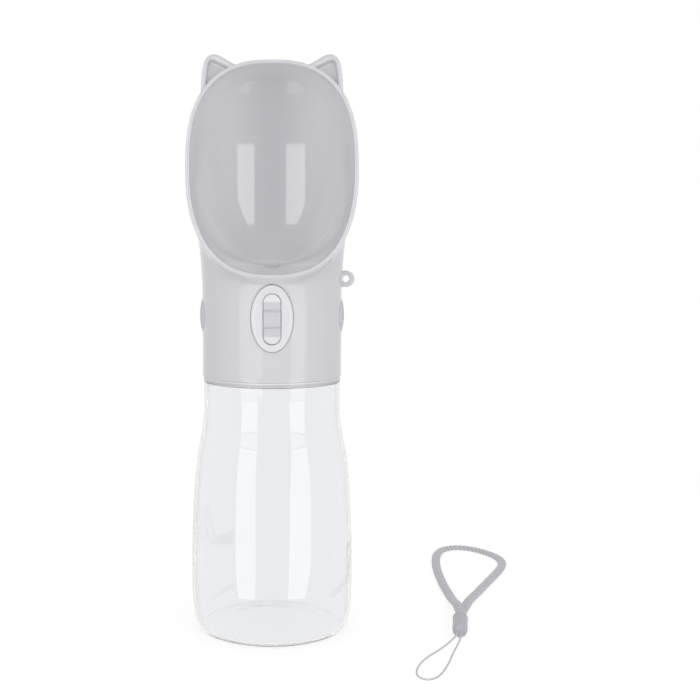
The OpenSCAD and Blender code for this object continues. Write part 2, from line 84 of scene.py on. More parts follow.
class Wire:
    """An output socket that takes part in plain arithmetic."""

    def __init__(self, paint: "Paint", socket: Any) -> None:
        """Keep the socket and the paint whose node tree it belongs to."""
        self.paint = paint
        self.socket = socket

    def maths(self, operation: str, *values: Any) -> "Wire":
        """Add a Math node.

        Args:
            operation: the Math node's operation.
            values: numbers or wires, in the order of its inputs.

        Returns:
            The node's result.
        """
        inputs = dict(enumerate(values))
        return self.paint.node("ShaderNodeMath", {"operation": operation}, inputs)

    def __add__(self, other: Any) -> "Wire":
        """Sum."""
        return self.maths("ADD", self, other)

    def __sub__(self, other: Any) -> "Wire":
        """Difference."""
        return self.maths("SUBTRACT", self, other)

    def __rsub__(self, other: Any) -> "Wire":
        """Difference the other way round."""
        return self.maths("SUBTRACT", other, self)

    def __mul__(self, other: Any) -> "Wire":
        """Product."""
        return self.maths("MULTIPLY", self, other)

    def over(self, other: "Wire") -> "Wire":
        """The larger of the two."""
        return self.maths("MAXIMUM", self, other)

    __radd__ = __add__
    __rmul__ = __mul__


class Paint:
    """The nodes of a material, or of the world, while they are being laid out."""

    OUTPUT = "ShaderNodeOutputMaterial"

    def __init__(self, name: str) -> None:
        """Start an empty tree of nodes.

        Args:
            name: name of the material or the world.
        """
        self.owner = self.make(name)
        self.owner.use_nodes = True
        self.tree = self.owner.node_tree
        self.tree.nodes.clear()

    def make(self, name: str) -> Any:
        """The new material."""
        return bpy.data.materials.new(name)

    def node(self, kind: str, settings: dict[str, Any] | None = None,
             inputs: dict[Any, Any] | None = None, out: Any = 0) -> Wire:
        """Add any node.

        Args:
            kind: the node's type.
            settings: its properties, set first.
            inputs: values or wires by socket name or index.
            out: name or index of the output that is returned.

        Returns:
            The wanted output.
        """
        made = self.tree.nodes.new(kind)
        for key, value in (settings or {}).items():
            setattr(made, key, value)
        for key, value in (inputs or {}).items():
            if isinstance(value, Wire):
                self.tree.links.new(value.socket, made.inputs[key])
            else:
                made.inputs[key].default_value = value
        return Wire(self, made.outputs[out] if made.outputs else None)

    def place(self) -> Wire:
        """The point in metres, in the object's own coordinates."""
        return self.node("ShaderNodeTexCoord", out="Object")

    def attribute(self, name: str) -> Wire:
        """A point attribute of the mesh."""
        return self.node("ShaderNodeAttribute", {"attribute_name": name}, out="Fac")

    def ray(self, kind: str) -> Wire:
        """1 for rays of this kind, such as Glossy, and 0 for all others."""
        return self.node("ShaderNodeLightPath", out=f"Is {kind} Ray")

    def seen(self) -> Wire:
        """1 for rays from the camera, also through clear plastic, and 0 for others."""
        return self.ray("Camera").over(self.ray("Transmission"))

    def noise(self, scale: float, detail: float = 2.0, at: Wire | None = None) -> Wire:
        """Fractal noise.

        Args:
            scale: how many features there are to a metre, or to a unit of at.
            detail: how many octaves are summed.
            at: where it is read, or None for the point.

        Returns:
            Noise from 0 to 1.
        """
        return self.node("ShaderNodeTexNoise", None, {
            "Vector": at or self.place(), "Scale": scale, "Detail": detail})

    def tint(self, factor: Wire, low: Colour | Wire, high: Colour) -> Wire:
        """A colour between two, or past the first where the factor is negative.

        Args:
            factor: 0 for low, 1 for high.
            low: the first colour.
            high: the second colour.

        Returns:
            low + factor * (high - low).
        """
        first, second, result = 6, 7, 2
        start = low if isinstance(low, Wire) else (*low, 1.0)
        return self.node("ShaderNodeMix", {"data_type": "RGBA", "clamp_factor": False},
                         {0: factor, first: start, second: (*high, 1.0)}, result)

    def bump(self, height: Wire, depth_mm: float) -> Wire:
        """A normal bent by a height of depth_mm where the wire is 1."""
        return self.node("ShaderNodeBump", None, {
            "Height": height, "Distance": depth_mm * MM, "Strength": 1.0})

    def glow(self, strength: Any) -> Wire:
        """A neutral shader that gives off light."""
        return self.node("ShaderNodeEmission", None, {
            "Color": (1.0, 1.0, 1.0, 1.0), "Strength": strength})

    def clear(self) -> Wire:
        """A shader that lets everything pass."""
        return self.node("ShaderNodeBsdfTransparent")

    def choose(self, factor: Wire, low: Wire, high: Wire) -> Wire:
        """The shader high where the factor is 1, low where it is 0."""
        return self.node("ShaderNodeMixShader", None, {0: factor, 1: low, 2: high})

    def principled(self, **inputs: Any) -> Wire:
        """A Principled shader; underscores in the names stand for spaces."""
        named = {key.replace("_", " "): value for key, value in inputs.items()}
        return self.node("ShaderNodeBsdfPrincipled", None, named)

    def finish(self, shader: Wire) -> Any:
        """Link the shader to the output and return the material or the world."""
        self.node(self.OUTPUT, None, {"Surface": shader})
        return self.owner


class Surround(Paint):
    """The nodes of the world."""

    OUTPUT = "ShaderNodeOutputWorld"

    def make(self, name: str) -> Any:
        """The new world, which the scene takes."""
        bpy.context.scene.world = bpy.data.worlds.new(name)
        return bpy.context.scene.world

    def background(self, level: Any) -> Wire:
        """A neutral background of this strength."""
        return self.node("ShaderNodeBackground", None, {
            "Color": (1.0, 1.0, 1.0, 1.0), "Strength": level})


def scaled(colour: Colour, factor: float) -> Colour:
    """The colour made lighter or darker by a factor."""
    return tuple(min(1.0, c * factor) for c in colour)


@dataclass(frozen=True)
class MouldedPlastic:
    """Injection-moulded plastic with a faint peel and handling haze."""

    name: str
    colour: Colour
    roughness: float
    coat: float = 0.0
    haze: float = 0.05
    peel_mm: float = 0.004
    spread: float = 0.02

    def base(self, paint: Paint, cloud: Wire) -> Wire:
        """The colour, which drifts by spread."""
        return paint.tint(cloud, scaled(self.colour, 1 - self.spread),
                          scaled(self.colour, 1 + self.spread))

    def build(self) -> bpy.types.Material:
        """Colour drifts by spread, gloss by haze, and a peel bends the light.

        Returns:
            The material.
        """
        paint = Paint(self.name)
        cloud = paint.noise(38.0, 3.0)
        smear = paint.noise(160.0, 4.0)
        peel = paint.noise(900.0, 2.0)
        shader = paint.principled(
            Base_Color=self.base(paint, cloud),
            Roughness=self.roughness + (smear - 0.5) * self.haze,
            IOR=1.5, Coat_Weight=self.coat, Coat_Roughness=0.06,
            Normal=paint.bump(peel, self.peel_mm))
        return paint.finish(shader)


@dataclass(frozen=True)
class PaintedLightPlastic(MouldedPlastic):
    """Moulded plastic with painted light and shade: a second colour where the crown attribute
    says, darker for painted shade and lighter for painted highlights.
    """

    painted_shade_and_highlight: Colour = (0.5, 0.5, 0.5)

    def base(self, paint: Paint, cloud: Wire) -> Wire:
        """Blend from the drifting colour to the painted shade and highlight colour by the
        attribute.
        """
        plain = MouldedPlastic.base(self, paint, cloud)
        return paint.tint(paint.attribute("crown"), plain, self.painted_shade_and_highlight)


@dataclass(frozen=True)
class ClearPlastic:
    """Clear blown plastic whose wall ripples very slightly."""

    name: str = "clear_wall"
    colour: Colour = (0.925, 0.93, 0.938)
    roughness: float = 0.015
    haze: float = 0.02
    ripple_mm: float = 0.10

    def build(self) -> bpy.types.Material:
        """Full transmission, with slow ripples from blowing and a fine haze.

        Returns:
            The material.
        """
        paint = Paint(self.name)
        ripple = paint.noise(26.0, 1.0)
        shader = paint.principled(
            Base_Color=(*self.colour, 1.0),
            Roughness=self.roughness + paint.noise(60.0, 3.0) * self.haze,
            IOR=1.4, Transmission_Weight=1.0, Coat_Weight=1.0, Coat_Roughness=0.02,
            Normal=paint.bump(ripple, self.ripple_mm))
        return paint.finish(shader)


@dataclass(frozen=True)
class SoftRubber:
    """Silicone or rubber with a fine spark-eroded grain."""

    name: str
    colour: Colour
    roughness: float = 0.55
    grain_mm: float = 0.02
    sheen: float = 0.1
    haze: float = 0.15
    spread: float = 0.03

    def build(self) -> bpy.types.Material:
        """Fine grain in the normal and a slow drift in colour.

        Returns:
            The material.
        """
        paint = Paint(self.name)
        grain = paint.noise(2600.0, 3.0)
        cloud = paint.noise(90.0, 3.0)
        shader = paint.principled(
            Base_Color=paint.tint(cloud, scaled(self.colour, 1 - self.spread),
                                  scaled(self.colour, 1 + self.spread)),
            Roughness=self.roughness + (grain - 0.5) * self.haze,
            Sheen_Weight=self.sheen, Normal=paint.bump(grain, self.grain_mm))
        return paint.finish(shader)


@dataclass(frozen=True)
class SpringSteel:
    """Drawn stainless wire with fine lengthwise scratches."""

    name: str = "spring_steel"
    colour: Colour = (0.62, 0.62, 0.63)
    roughness: float = 0.22
    haze: float = 0.18
    scratch_mm: float = 0.004

    def build(self) -> bpy.types.Material:
        """Metal whose gloss and normal vary with fine noise.

        Returns:
            The material.
        """
        paint = Paint(self.name)
        scratch = paint.noise(3500.0, 4.0)
        shader = paint.principled(
            Base_Color=(*self.colour, 1.0), Metallic=1.0,
            Roughness=self.roughness + scratch * self.haze,
            Normal=paint.bump(scratch, self.scratch_mm))
        return paint.finish(shader)


@dataclass(frozen=True)
class Yarn:
    """Polyester yarn on a cord whose UV map runs in millimetres."""

    name: str
    light: Colour
    trough_shade: Colour
    fibre_per_mm: float = 7.0
    drift_per_mm: float = 1.6
    fibre_share: float = 0.25
    fibre_mm: float = 0.06
    roughness: float = 0.78
    haze: float = 0.12

    def build(self) -> bpy.types.Material:
        """Fibres run along V, with painted shade that darkens the troughs, where the crown
        attribute is low.

        Returns:
            The material.
        """
        paint = Paint(self.name)
        uv = paint.node("ShaderNodeTexCoord", out="UV")
        stretched = paint.node("ShaderNodeMapping", None, {
            "Vector": uv, "Scale": (self.fibre_per_mm, self.drift_per_mm, 1.0)})
        fibre = paint.noise(1.0, 3.0, stretched)
        # Painted shade: where the crown attribute is low, in the troughs, the yarn takes the
        # dark colour.
        shade = paint.attribute("crown") * (1 - self.fibre_share) + fibre * self.fibre_share
        shader = paint.principled(
            Base_Color=paint.tint(shade, self.trough_shade, self.light),
            Roughness=self.roughness - fibre * self.haze, Sheen_Weight=0.35,
            Sheen_Roughness=0.4, Normal=paint.bump(fibre, self.fibre_mm))
        return paint.finish(shader)


# ---------------------------------------------------------------- meshes


def angles(count: int) -> Array:
    """Count equal steps round a full turn."""
    return np.arange(count) * TURN / count


def bezier(ends: Sequence[Array], t: Array) -> Array:
    """Cubic Bezier curve.

    (1-t)^3 a + 3t(1-t)^2 b + 3t^2(1-t) c + t^3 d, for every t at once.

    Args:
        ends: the four control points, each an array of (..., 3).
        t: the parameters.

    Returns:
        Points with t as their first axis.
    """
    a, b, c, d = (np.asarray(p, float)[None] for p in ends)
    s = np.asarray(t, float).reshape(-1, *([1] * (a.ndim - 1)))
    return ((1 - s) ** 3 * a + 3 * s * (1 - s) ** 2 * b
            + 3 * s * s * (1 - s) * c + s ** 3 * d)


def grid_faces(rows: int, columns: int, wrap: bool) -> Array:
    """Quads of a grid whose columns may close into a ring.

    Args:
        rows: number of rings.
        columns: points in each ring.
        wrap: whether the last column joins the first.

    Returns:
        Indices, one quad a row.
    """
    i, j = np.meshgrid(np.arange(rows - 1), np.arange(columns if wrap else columns - 1),
                       indexing="ij")
    k = (j + 1) % columns
    quads = np.stack([i * columns + j, i * columns + k,
                      (i + 1) * columns + k, (i + 1) * columns + j], -1)
    return quads.reshape(-1, 4)


def signed_volume(points: Array, faces: Sequence[Sequence[int]]) -> float:
    """Volume by the divergence theorem, summed over the fans of all faces.

    Args:
        points: the vertices.
        faces: their indices, face by face.

    Returns:
        The volume, below 0 when the faces point inwards.
    """
    total = 0.0
    for size in {len(f) for f in faces}:
        group = np.array([f for f in faces if len(f) == size])
        for k in range(1, size - 1):
            a, b, c = points[group[:, 0]], points[group[:, k]], points[group[:, k + 1]]
            total += float(np.einsum("ij,ij->i", a, np.cross(b, c)).sum()) / 6.0
    return total


@dataclass
class Skin:
    """A closed surface of rings, with a pole at each open end."""

    rings: Array
    first_pole: Array | None = None
    last_pole: Array | None = None
    loop: bool = False
    uv_mm: Array | None = None
    # Weights written as the crown attribute, which the materials use for painted light and
    # shade.
    crown: Array | None = None

    def build(self, name: str, material: bpy.types.Material,
              sharp: float = 35.0) -> bpy.types.Object:
        """Write the surface into a mesh object at the origin.

        Args:
            name: name of the piece.
            material: its finish.
            sharp: edges that bend by more degrees than this stay crisp.

        Returns:
            The new object.
        """
        rows, columns = self.rings.shape[:2]
        points = self.rings.reshape(-1, 3)
        if self.loop:
            faces = grid_faces(rows + 1, columns, True) % (rows * columns)
        else:
            faces = grid_faces(rows, columns, True)
        faces = faces.tolist()
        ring = np.arange(columns)
        for pole, base, flip in ((self.first_pole, 0, True),
                                 (self.last_pole, (rows - 1) * columns, False)):
            if pole is None:
                continue
            tip = len(points)
            points = np.vstack([points, np.asarray(pole, float)[None]])
            pair = np.stack([base + ring, base + (ring + 1) % columns], -1)
            pair = pair[:, ::-1] if flip else pair
            faces += [[int(p), int(q), tip] for p, q in pair]
        if signed_volume(points, faces) < 0:
            faces = [f[::-1] for f in faces]
        piece = mesh_object(name, points, faces, material, sharp)
        self.paint_lengths(piece, columns)
        return piece

    def paint_lengths(self, piece: bpy.types.Object, columns: int) -> None:
        """Write the UV map in millimetres and the crown attribute, which the materials read
        for painted light and shade.

        Args:
            piece: the piece, whose points are the rings and then the poles.
            columns: points in each ring.
        """
        mesh = piece.data
        if self.crown is not None:
            ends = [row.mean() for pole, row in ((self.first_pole, self.crown[0]),
                                                 (self.last_pole, self.crown[-1]))
                    if pole is not None]
            values = np.concatenate([self.crown.reshape(-1), ends])
            layer = mesh.attributes.new("crown", "FLOAT", "POINT")
            layer.data.foreach_set("value", values.astype(np.float32))
        if self.uv_mm is not None:
            corner = np.zeros(len(mesh.loops), np.int32)
            mesh.loops.foreach_get("vertex_index", corner)
            flat = np.zeros((len(mesh.vertices), 2))
            flat[:self.uv_mm.shape[0] * columns] = self.uv_mm.reshape(-1, 2)
            layer = mesh.uv_layers.new(name="along")
            layer.data.foreach_set("uv", flat[corner].reshape(-1).astype(np.float32))


def mesh_object(name: str, points: Array, faces: Sequence[Sequence[int]],
                material: bpy.types.Material, sharp: float) -> bpy.types.Object:
    """A mesh object at the origin from points in millimetres.

    Args:
        name: name of the piece.
        points: the vertices.
        faces: their indices, face by face.
        material: its finish.
        sharp: angle in degrees above which an edge stays crisp.

    Returns:
        The new object, linked to the scene.
    """
    mesh = bpy.data.meshes.new(name)
    mesh.from_pydata((np.asarray(points) * MM).tolist(), [], faces)
    mesh.validate()
    mesh.shade_smooth()
    mesh.set_sharp_from_angle(angle=math.radians(sharp))
    mesh.materials.append(material)
    piece = bpy.data.objects.new(name, mesh)
    bpy.context.scene.collection.objects.link(piece)
    return piece


def dress(piece: bpy.types.Object, body: Body, slot: str, *nodes: str) -> None:
    """Put a piece on its body and let it stand for CAD nodes.

    Args:
        piece: the finished piece.
        body: the body that it moves with.
        slot: the record's material slot; not used.
        nodes: the CAD nodes that it replaces.
    """
    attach(piece, body.value)
    if nodes:
        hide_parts(*nodes)
    LOG.info("%s: %d faces on %s", piece.name, len(piece.data.polygons), body.value)


def turned(profile: Array, around: int, swell: Array | None = None) -> Array:
    """Rings of a turned shape.

    Each profile row (r, z) becomes a circle of radius r, plus swell[row, angle].

    Args:
        profile: radius and height of each ring.
        around: points in each ring.
        swell: extra radius for each point.

    Returns:
        Rings of points about the Z axis.
    """
    angle = angles(around)
    radius = profile[:, :1] + (0.0 if swell is None else swell)
    radius = np.broadcast_to(radius, (len(profile), around))
    height = np.broadcast_to(profile[:, 1:2], radius.shape)
    return np.stack([radius * np.cos(angle), radius * np.sin(angle), height], -1)


def rounded(corners: Sequence[tuple[float, float, float]], steps: int = 5) -> Array:
    """A profile whose corners are rounded.

    At each corner (x, y, radius) a quadratic arc runs from one side to the other:
    (1-t)^2 before + 2t(1-t) corner + t^2 after.

    Args:
        corners: the corner points with their radii.
        steps: points in each arc.

    Returns:
        The profile's points.
    """
    points = np.array([c[:2] for c in corners], float)
    out = []
    for k, (x, y, radius) in enumerate(corners):
        here = points[k]
        if radius <= 0 or k in (0, len(corners) - 1):
            out.append(here[None])
            continue
        back, ahead = points[k - 1] - here, points[k + 1] - here
        reach = min(radius, 0.49 * np.linalg.norm(back), 0.49 * np.linalg.norm(ahead))
        start = here + back / np.linalg.norm(back) * reach
        end = here + ahead / np.linalg.norm(ahead) * reach
        t = np.linspace(0, 1, steps)[:, None]
        out.append((1 - t) ** 2 * start + 2 * t * (1 - t) * here + t * t * end)
    return np.vstack(out)


def along(points: Array, axis: str, at: Sequence[float]) -> Array:
    """Lay a shape turned about Z along another axis, at a place.

    Args:
        points: points about the Z axis.
        axis: "x", "-x" or "y", the way that its Z is to point.
        at: where its origin goes.

    Returns:
        The moved points.
    """
    x, y, z = points[..., 0], points[..., 1], points[..., 2]
    laid = {"x": (z, y, -x), "-x": (-z, y, x), "y": (x, z, -y)}[axis]
    return np.stack(laid, -1) + np.asarray(at, float)


def squared_up(wave: Array, power: float) -> Array:
    """|wave|^power with the wave's own sign; a power below 1 squares a circle up."""
    return np.sign(wave) * np.abs(wave) ** power


def line_length(line: Array) -> float:
    """Length of a line of points."""
    return float(np.linalg.norm(np.diff(line, axis=0), axis=1).sum())


def oval(width: float, height: float, around: int) -> Array:
    """An ellipse of around points."""
    angle = angles(around)
    return np.stack([width / 2 * np.cos(angle), height / 2 * np.sin(angle)], -1)


def stadium(width: float, height: float, around: int) -> Array:
    """A slot with round ends, met by rays from its middle at equal angles.

    A ray meets the straight side at r / |cos|, or the end's circle at
    s + sqrt(r^2 - shift^2 + s^2), where s = |sin| * shift and shift is how far the
    circle's centre lies from the middle.

    Args:
        width: the slot's width, twice the ends' radius.
        height: its whole length.
        around: how many points it has.

    Returns:
        The points.
    """
    angle = angles(around)
    cosine, sine = np.abs(np.cos(angle)), np.abs(np.sin(angle))
    r, shift = width / 2, (height - width) / 2
    side = r / np.maximum(cosine, 1e-9)
    s = sine * shift
    end = s + np.sqrt(np.maximum(r * r - shift * shift + s * s, 0.0))
    reach = np.where(side * sine <= shift, side, end)
    return np.stack([np.cos(angle), np.sin(angle)], -1) * reach[:, None]


def softened(line: Array, window: int) -> Array:
    """A line averaged over an odd window of points, turned round at its ends.

    Args:
        line: the points.
        window: how many points the average takes in.

    Returns:
        As many points, between the same two ends.
    """
    weight = np.hanning(window + 2)[1:-1]
    reach = window // 2
    before = 2 * line[0] - line[reach:0:-1]
    after = 2 * line[-1] - line[-2:-reach - 2:-1]
    padded = np.vstack([before, line, after])
    return np.stack([np.convolve(column, weight / weight.sum(), "valid")
                     for column in padded.T], -1)


def spline(stations: Array, count: int) -> Array:
    """Smooth curve through stations, evenly spaced.

    A Catmull-Rom curve: between two stations it is the cubic whose end slopes are
    half the step between their neighbours. It is then resampled by arc length.

    Args:
        stations: the points to pass through.
        count: how many points to return.

    Returns:
        Evenly spaced points.
    """
    p = np.vstack([2 * stations[:1] - stations[1:2], stations,
                   2 * stations[-1:] - stations[-2:-1]])
    t = np.linspace(0, 1, 24, endpoint=False)[:, None, None]
    a, b, c, d = p[None, :-3], p[None, 1:-2], p[None, 2:-1], p[None, 3:]
    curve = 0.5 * (2 * b + (c - a) * t + (2 * a - 5 * b + 4 * c - d) * t ** 2
                   + (3 * b - a - 3 * c + d) * t ** 3)
    curve = np.vstack([curve.transpose(1, 0, 2).reshape(-1, 3), stations[-1:]])
    step = np.linalg.norm(np.diff(curve, axis=0), axis=1)
    length = np.concatenate([[0], np.cumsum(step)])
    wanted = np.linspace(0, length[-1], count)
    return np.stack([np.interp(wanted, length, curve[:, k]) for k in range(3)], -1)


# ---------------------------------------------------------------- camera and studio


@dataclass
class Viewpoint:
    """The camera: a short telephoto a little above the middle of the head.

    It looks along +Y, tilted down by some degrees, and is shifted sideways.
    """

    distance: float = 561.0
    height: float = 181.0
    tilt_down: float = 5.5
    lens: float = 64.29
    sensor: float = 36.0
    shift_x: float = 0.1114
    near: float = 10.0

    def build(self) -> None:
        """Make the camera and set it as the scene's own."""
        data = bpy.data.cameras.new("camera")
        data.lens = self.lens
        data.sensor_width = self.sensor
        data.shift_x = self.shift_x
        data.clip_start = self.near * MM
        camera = bpy.data.objects.new("camera", data)
        camera.location = (0.0, -self.distance * MM, self.height * MM)
        camera.rotation_euler = (math.radians(90.0 - self.tilt_down), 0.0, 0.0)
        bpy.context.scene.collection.objects.link(camera)
        bpy.context.scene.camera = camera


class Mirror:
    """Follows a ray from the camera to a surface and on, as the surface turns it.

    A ray goes through a mark on a screen that stands SCREEN before the camera. The
    mark is given in millimetres to the right of the screen's middle and above it.
    """

    SCREEN = 1000.0

    def __init__(self, rings: Array, view: Viewpoint) -> None:
        """Keep the surface for ray casts.

        Args:
            rings: the surface.
            view: the camera.
        """
        faces = grid_faces(*rings.shape[:2], True)
        self.tree = BVHTree.FromPolygons(rings.reshape(-1, 3).tolist(), faces.tolist())
        self.view = view

    def meet(self, across: float, up: float) -> tuple[Vector, Vector]:
        """Where the ray through a mark meets the surface.

        Args:
            across: the mark's place to the right of the screen's middle.
            up: its place above the middle.

        Returns:
            The point and the ray's direction.
        """
        tilt = math.radians(self.view.tilt_down)
        ray = (Vector((0.0, math.cos(tilt), -math.sin(tilt))) * self.SCREEN
               + Vector((across, 0.0, 0.0))
               + Vector((0.0, math.sin(tilt), math.cos(tilt))) * up).normalized()
        eye = Vector((0.0, -self.view.distance, self.view.height))
        return self.tree.ray_cast(eye, ray)[0], ray

    def gloss(self, across: float, up: float, reach: float) -> Vector:
        """Where the reflected ray is after some way.

        The normal is the cross product of the steps between four rays, 1 mm round
        the mark, and the reflection is ray - 2 (ray . normal) normal.

        Args:
            across: the mark's place to the right of the screen's middle.
            up: its place above the middle.
            reach: how far the reflected ray is followed.

        Returns:
            The point at its end.
        """
        point, ray = self.meet(across, up)
        side = self.meet(across + 1.0, up)[0] - self.meet(across - 1.0, up)[0]
        rise = self.meet(across, up + 1.0)[0] - self.meet(across, up - 1.0)[0]
        normal = side.cross(rise).normalized()
        return point + reach * (ray - 2.0 * ray.dot(normal) * normal)


@dataclass
class Studio:
    """Soft frontal fill, light cards seen only in gloss, a pale floor and surround.

    The bottle's and the skirt's cards stand on a cylinder round the object's axis
    and show as upright strips; each row of their tables is a height, and the angles
    where the left and the right card start and end. The high cards lie where the
    scoop's bowl reflects them as two strips, whose edges are marks on the mirror's
    screen. The lamps' powers are in watts, the left one's first.
    """

    fill_angle: float = 13.0
    fill_tilt: float = 82.0
    fill_powers: tuple = (1.97, 2.7)
    fill_size: float = 900.0
    fill_distance: float = 1000.0
    fill_height: float = 300.0
    card_radius: float = 100.0
    card_columns: int = 9
    bottle_glow: float = 1.9
    skirt_glow: float = 1.5
    high_glow: float = 3.5
    front_gloss: float = 0.35
    back_gloss: float = 0.95
    surround: float = 0.74
    floor_half: float = 3000.0
    floor_glow: float = 0.765
    floor_near: float = 200.0
    floor_far: float = 500.0
    floor_bounce: float = 0.5
    floor_shade: float = 0.32
    skirt_cards: Array = field(default_factory=lambda: np.array([
        (101.1, -44, -20, 25, 47.4), (104.6, -44.5, -20.3, 25.8, 47.4),
        (105.5, -46, -13.5, 26.8, 48.4), (130, -46, -13.5, 26.8, 48.4),
        (155, -46, -13.5, 26.8, 48.4)], float))
    bottle_cards: Array = field(default_factory=lambda: np.array([
        (1.9, -39.5, -20, 18.3, 39), (19, -43, -18.7, 19.4, 46),
        (60, -43.8, -19.6, 21.2, 48), (100.4, -43.9, -20, 25, 47.4)], float))
    bowl_strips: tuple = ((-27.6, -14.0), (11.2, 26.4))
    bowl_top: float = 164.8
    bowl_foot: float = 100.8
    bowl_grid: tuple = (6, 3)
    high_reach: float = 250.0

    def build(self, scoop: Array, view: Viewpoint) -> None:
        """Make the world, the lamps, the cards and the floor.

        Args:
            scoop: rings of the scoop's surface, which the high cards show in.
            view: the camera.
        """
        bpy.context.scene.view_settings.view_transform = "Standard"
        self.build_world()
        for side, power in zip((-1.0, 1.0), self.fill_powers):
            self.build_fill(side, power)
        self.build_low_cards(self.bottle_cards, self.bottle_glow)
        self.build_low_cards(self.skirt_cards, self.skirt_glow)
        self.build_high_cards(Mirror(scoop, view))
        self.build_floor()

    def build_world(self) -> None:
        """White to the camera and through clear plastic, dimmer as light.

        As gloss it brightens from front_gloss towards the camera's side to
        back_gloss behind the object: front + (back - front) * (0.5 + 0.5 * y).
        """
        paint = Surround("surround")
        way = paint.node("ShaderNodeTexCoord", out="Generated")
        y = paint.node("ShaderNodeSeparateXYZ", None, {0: way}, "Y")
        gloss = paint.node("ShaderNodeMapRange", None, {
            "Value": y, "From Min": -1.0, "From Max": 1.0,
            "To Min": self.front_gloss, "To Max": self.back_gloss})
        shade = paint.choose(paint.ray("Glossy"), paint.background(self.surround),
                             paint.background(gloss))
        paint.finish(paint.choose(paint.seen(), shade, paint.background(1.0)))

    def build_fill(self, side: float, power: float) -> None:
        """A soft lamp that shows no highlight of its own.

        Args:
            side: -1 for the camera's left, 1 for its right.
            power: its strength in watts.
        """
        data = bpy.data.lights.new("soft_fill", "AREA")
        data.shape = "DISK"
        data.size = self.fill_size * MM
        data.energy = power
        lamp = bpy.data.objects.new("soft_fill", data)
        angle = math.radians(self.fill_angle)
        away = self.fill_distance * MM
        lamp.location = (side * away * math.sin(angle), -away * math.cos(angle),
                         self.fill_height * MM)
        lamp.rotation_euler = (math.radians(self.fill_tilt), 0.0, side * angle)
        lamp.visible_glossy = False
        lamp.visible_transmission = False
        bpy.context.scene.collection.objects.link(lamp)

    def build_low_cards(self, table: Array, glow: float) -> None:
        """The left and the right card of a table, on the cards' cylinder.

        Args:
            table: heights, with the angles where both cards start and end.
            glow: their brightness.
        """
        share = np.linspace(0, 1, self.card_columns)
        for first in (1, 3):
            start, end = table[:, first, None], table[:, first + 1, None]
            angle = np.radians(start + (end - start) * share)
            grid = np.stack(np.broadcast_arrays(
                self.card_radius * np.sin(angle), -self.card_radius * np.cos(angle),
                table[:, :1]), -1)
            self.build_card("low_card", grid, glow)

    def build_high_cards(self, mirror: Mirror) -> None:
        """The two cards that the bowl reflects, worked out from where they show.

        Args:
            mirror: the bowl as a mirror.
        """
        rows, columns = self.bowl_grid
        for start, end in self.bowl_strips:
            grid = np.array([[mirror.gloss(across, up, self.high_reach)
                              for across in np.linspace(start, end, columns)]
                             for up in np.linspace(self.bowl_top, self.bowl_foot, rows)])
            self.build_card("high_card", grid, self.high_glow)

    def build_card(self, name: str, grid: Array, glow: float) -> None:
        """A glowing sheet that only glossy rays meet, and none from inside the bottle.

        Args:
            name: name of the card.
            grid: rows of points.
            glow: its brightness.
        """
        paint = Paint(name)
        sheet = paint.choose(paint.ray("Transmission"), paint.glow(glow), paint.clear())
        rows, columns = grid.shape[:2]
        card = mesh_object(name, grid.reshape(-1, 3),
                           grid_faces(rows, columns, False).tolist(),
                           paint.finish(sheet), 180.0)
        for ray in ("camera", "diffuse", "transmission", "volume_scatter", "shadow"):
            setattr(card, "visible_" + ray, False)

    def build_floor(self) -> None:
        """A plane that reads white, keeps a soft shadow and lets gloss pass.

        Round the object it is matt, with a glow that makes up for what it lacks to
        white; from floor_near to floor_far that passes into plain white.
        """
        paint = Paint("pale_floor")
        shade = self.floor_shade
        matt = paint.node("ShaderNodeBsdfDiffuse", None, {
            "Color": (shade, shade, shade, 1.0)})
        as_light = paint.node("ShaderNodeAddShader", None, {
            0: paint.glow(self.floor_bounce), 1: matt})
        near = paint.node("ShaderNodeAddShader", None, {
            0: paint.glow(self.floor_glow), 1: matt})
        away = paint.node("ShaderNodeVectorMath", {"operation": "LENGTH"},
                          {0: paint.place()}, "Value")
        fade = paint.node("ShaderNodeMapRange", {"interpolation_type": "SMOOTHSTEP"}, {
            "Value": away, "From Min": self.floor_near * MM,
            "From Max": self.floor_far * MM})
        shown = paint.choose(fade, near, paint.glow(1.0))
        plain = paint.choose(paint.seen(), as_light, shown)
        final = paint.choose(paint.ray("Glossy"), plain, paint.clear())
        half = self.floor_half
        corners = np.array([(-half, -half, 0.0), (half, -half, 0.0),
                            (half, half, 0.0), (-half, half, 0.0)])
        floor = mesh_object("floor", corners, [(0, 1, 2, 3)], paint.finish(final), 180.0)


# ---------------------------------------------------------------- wrist strap


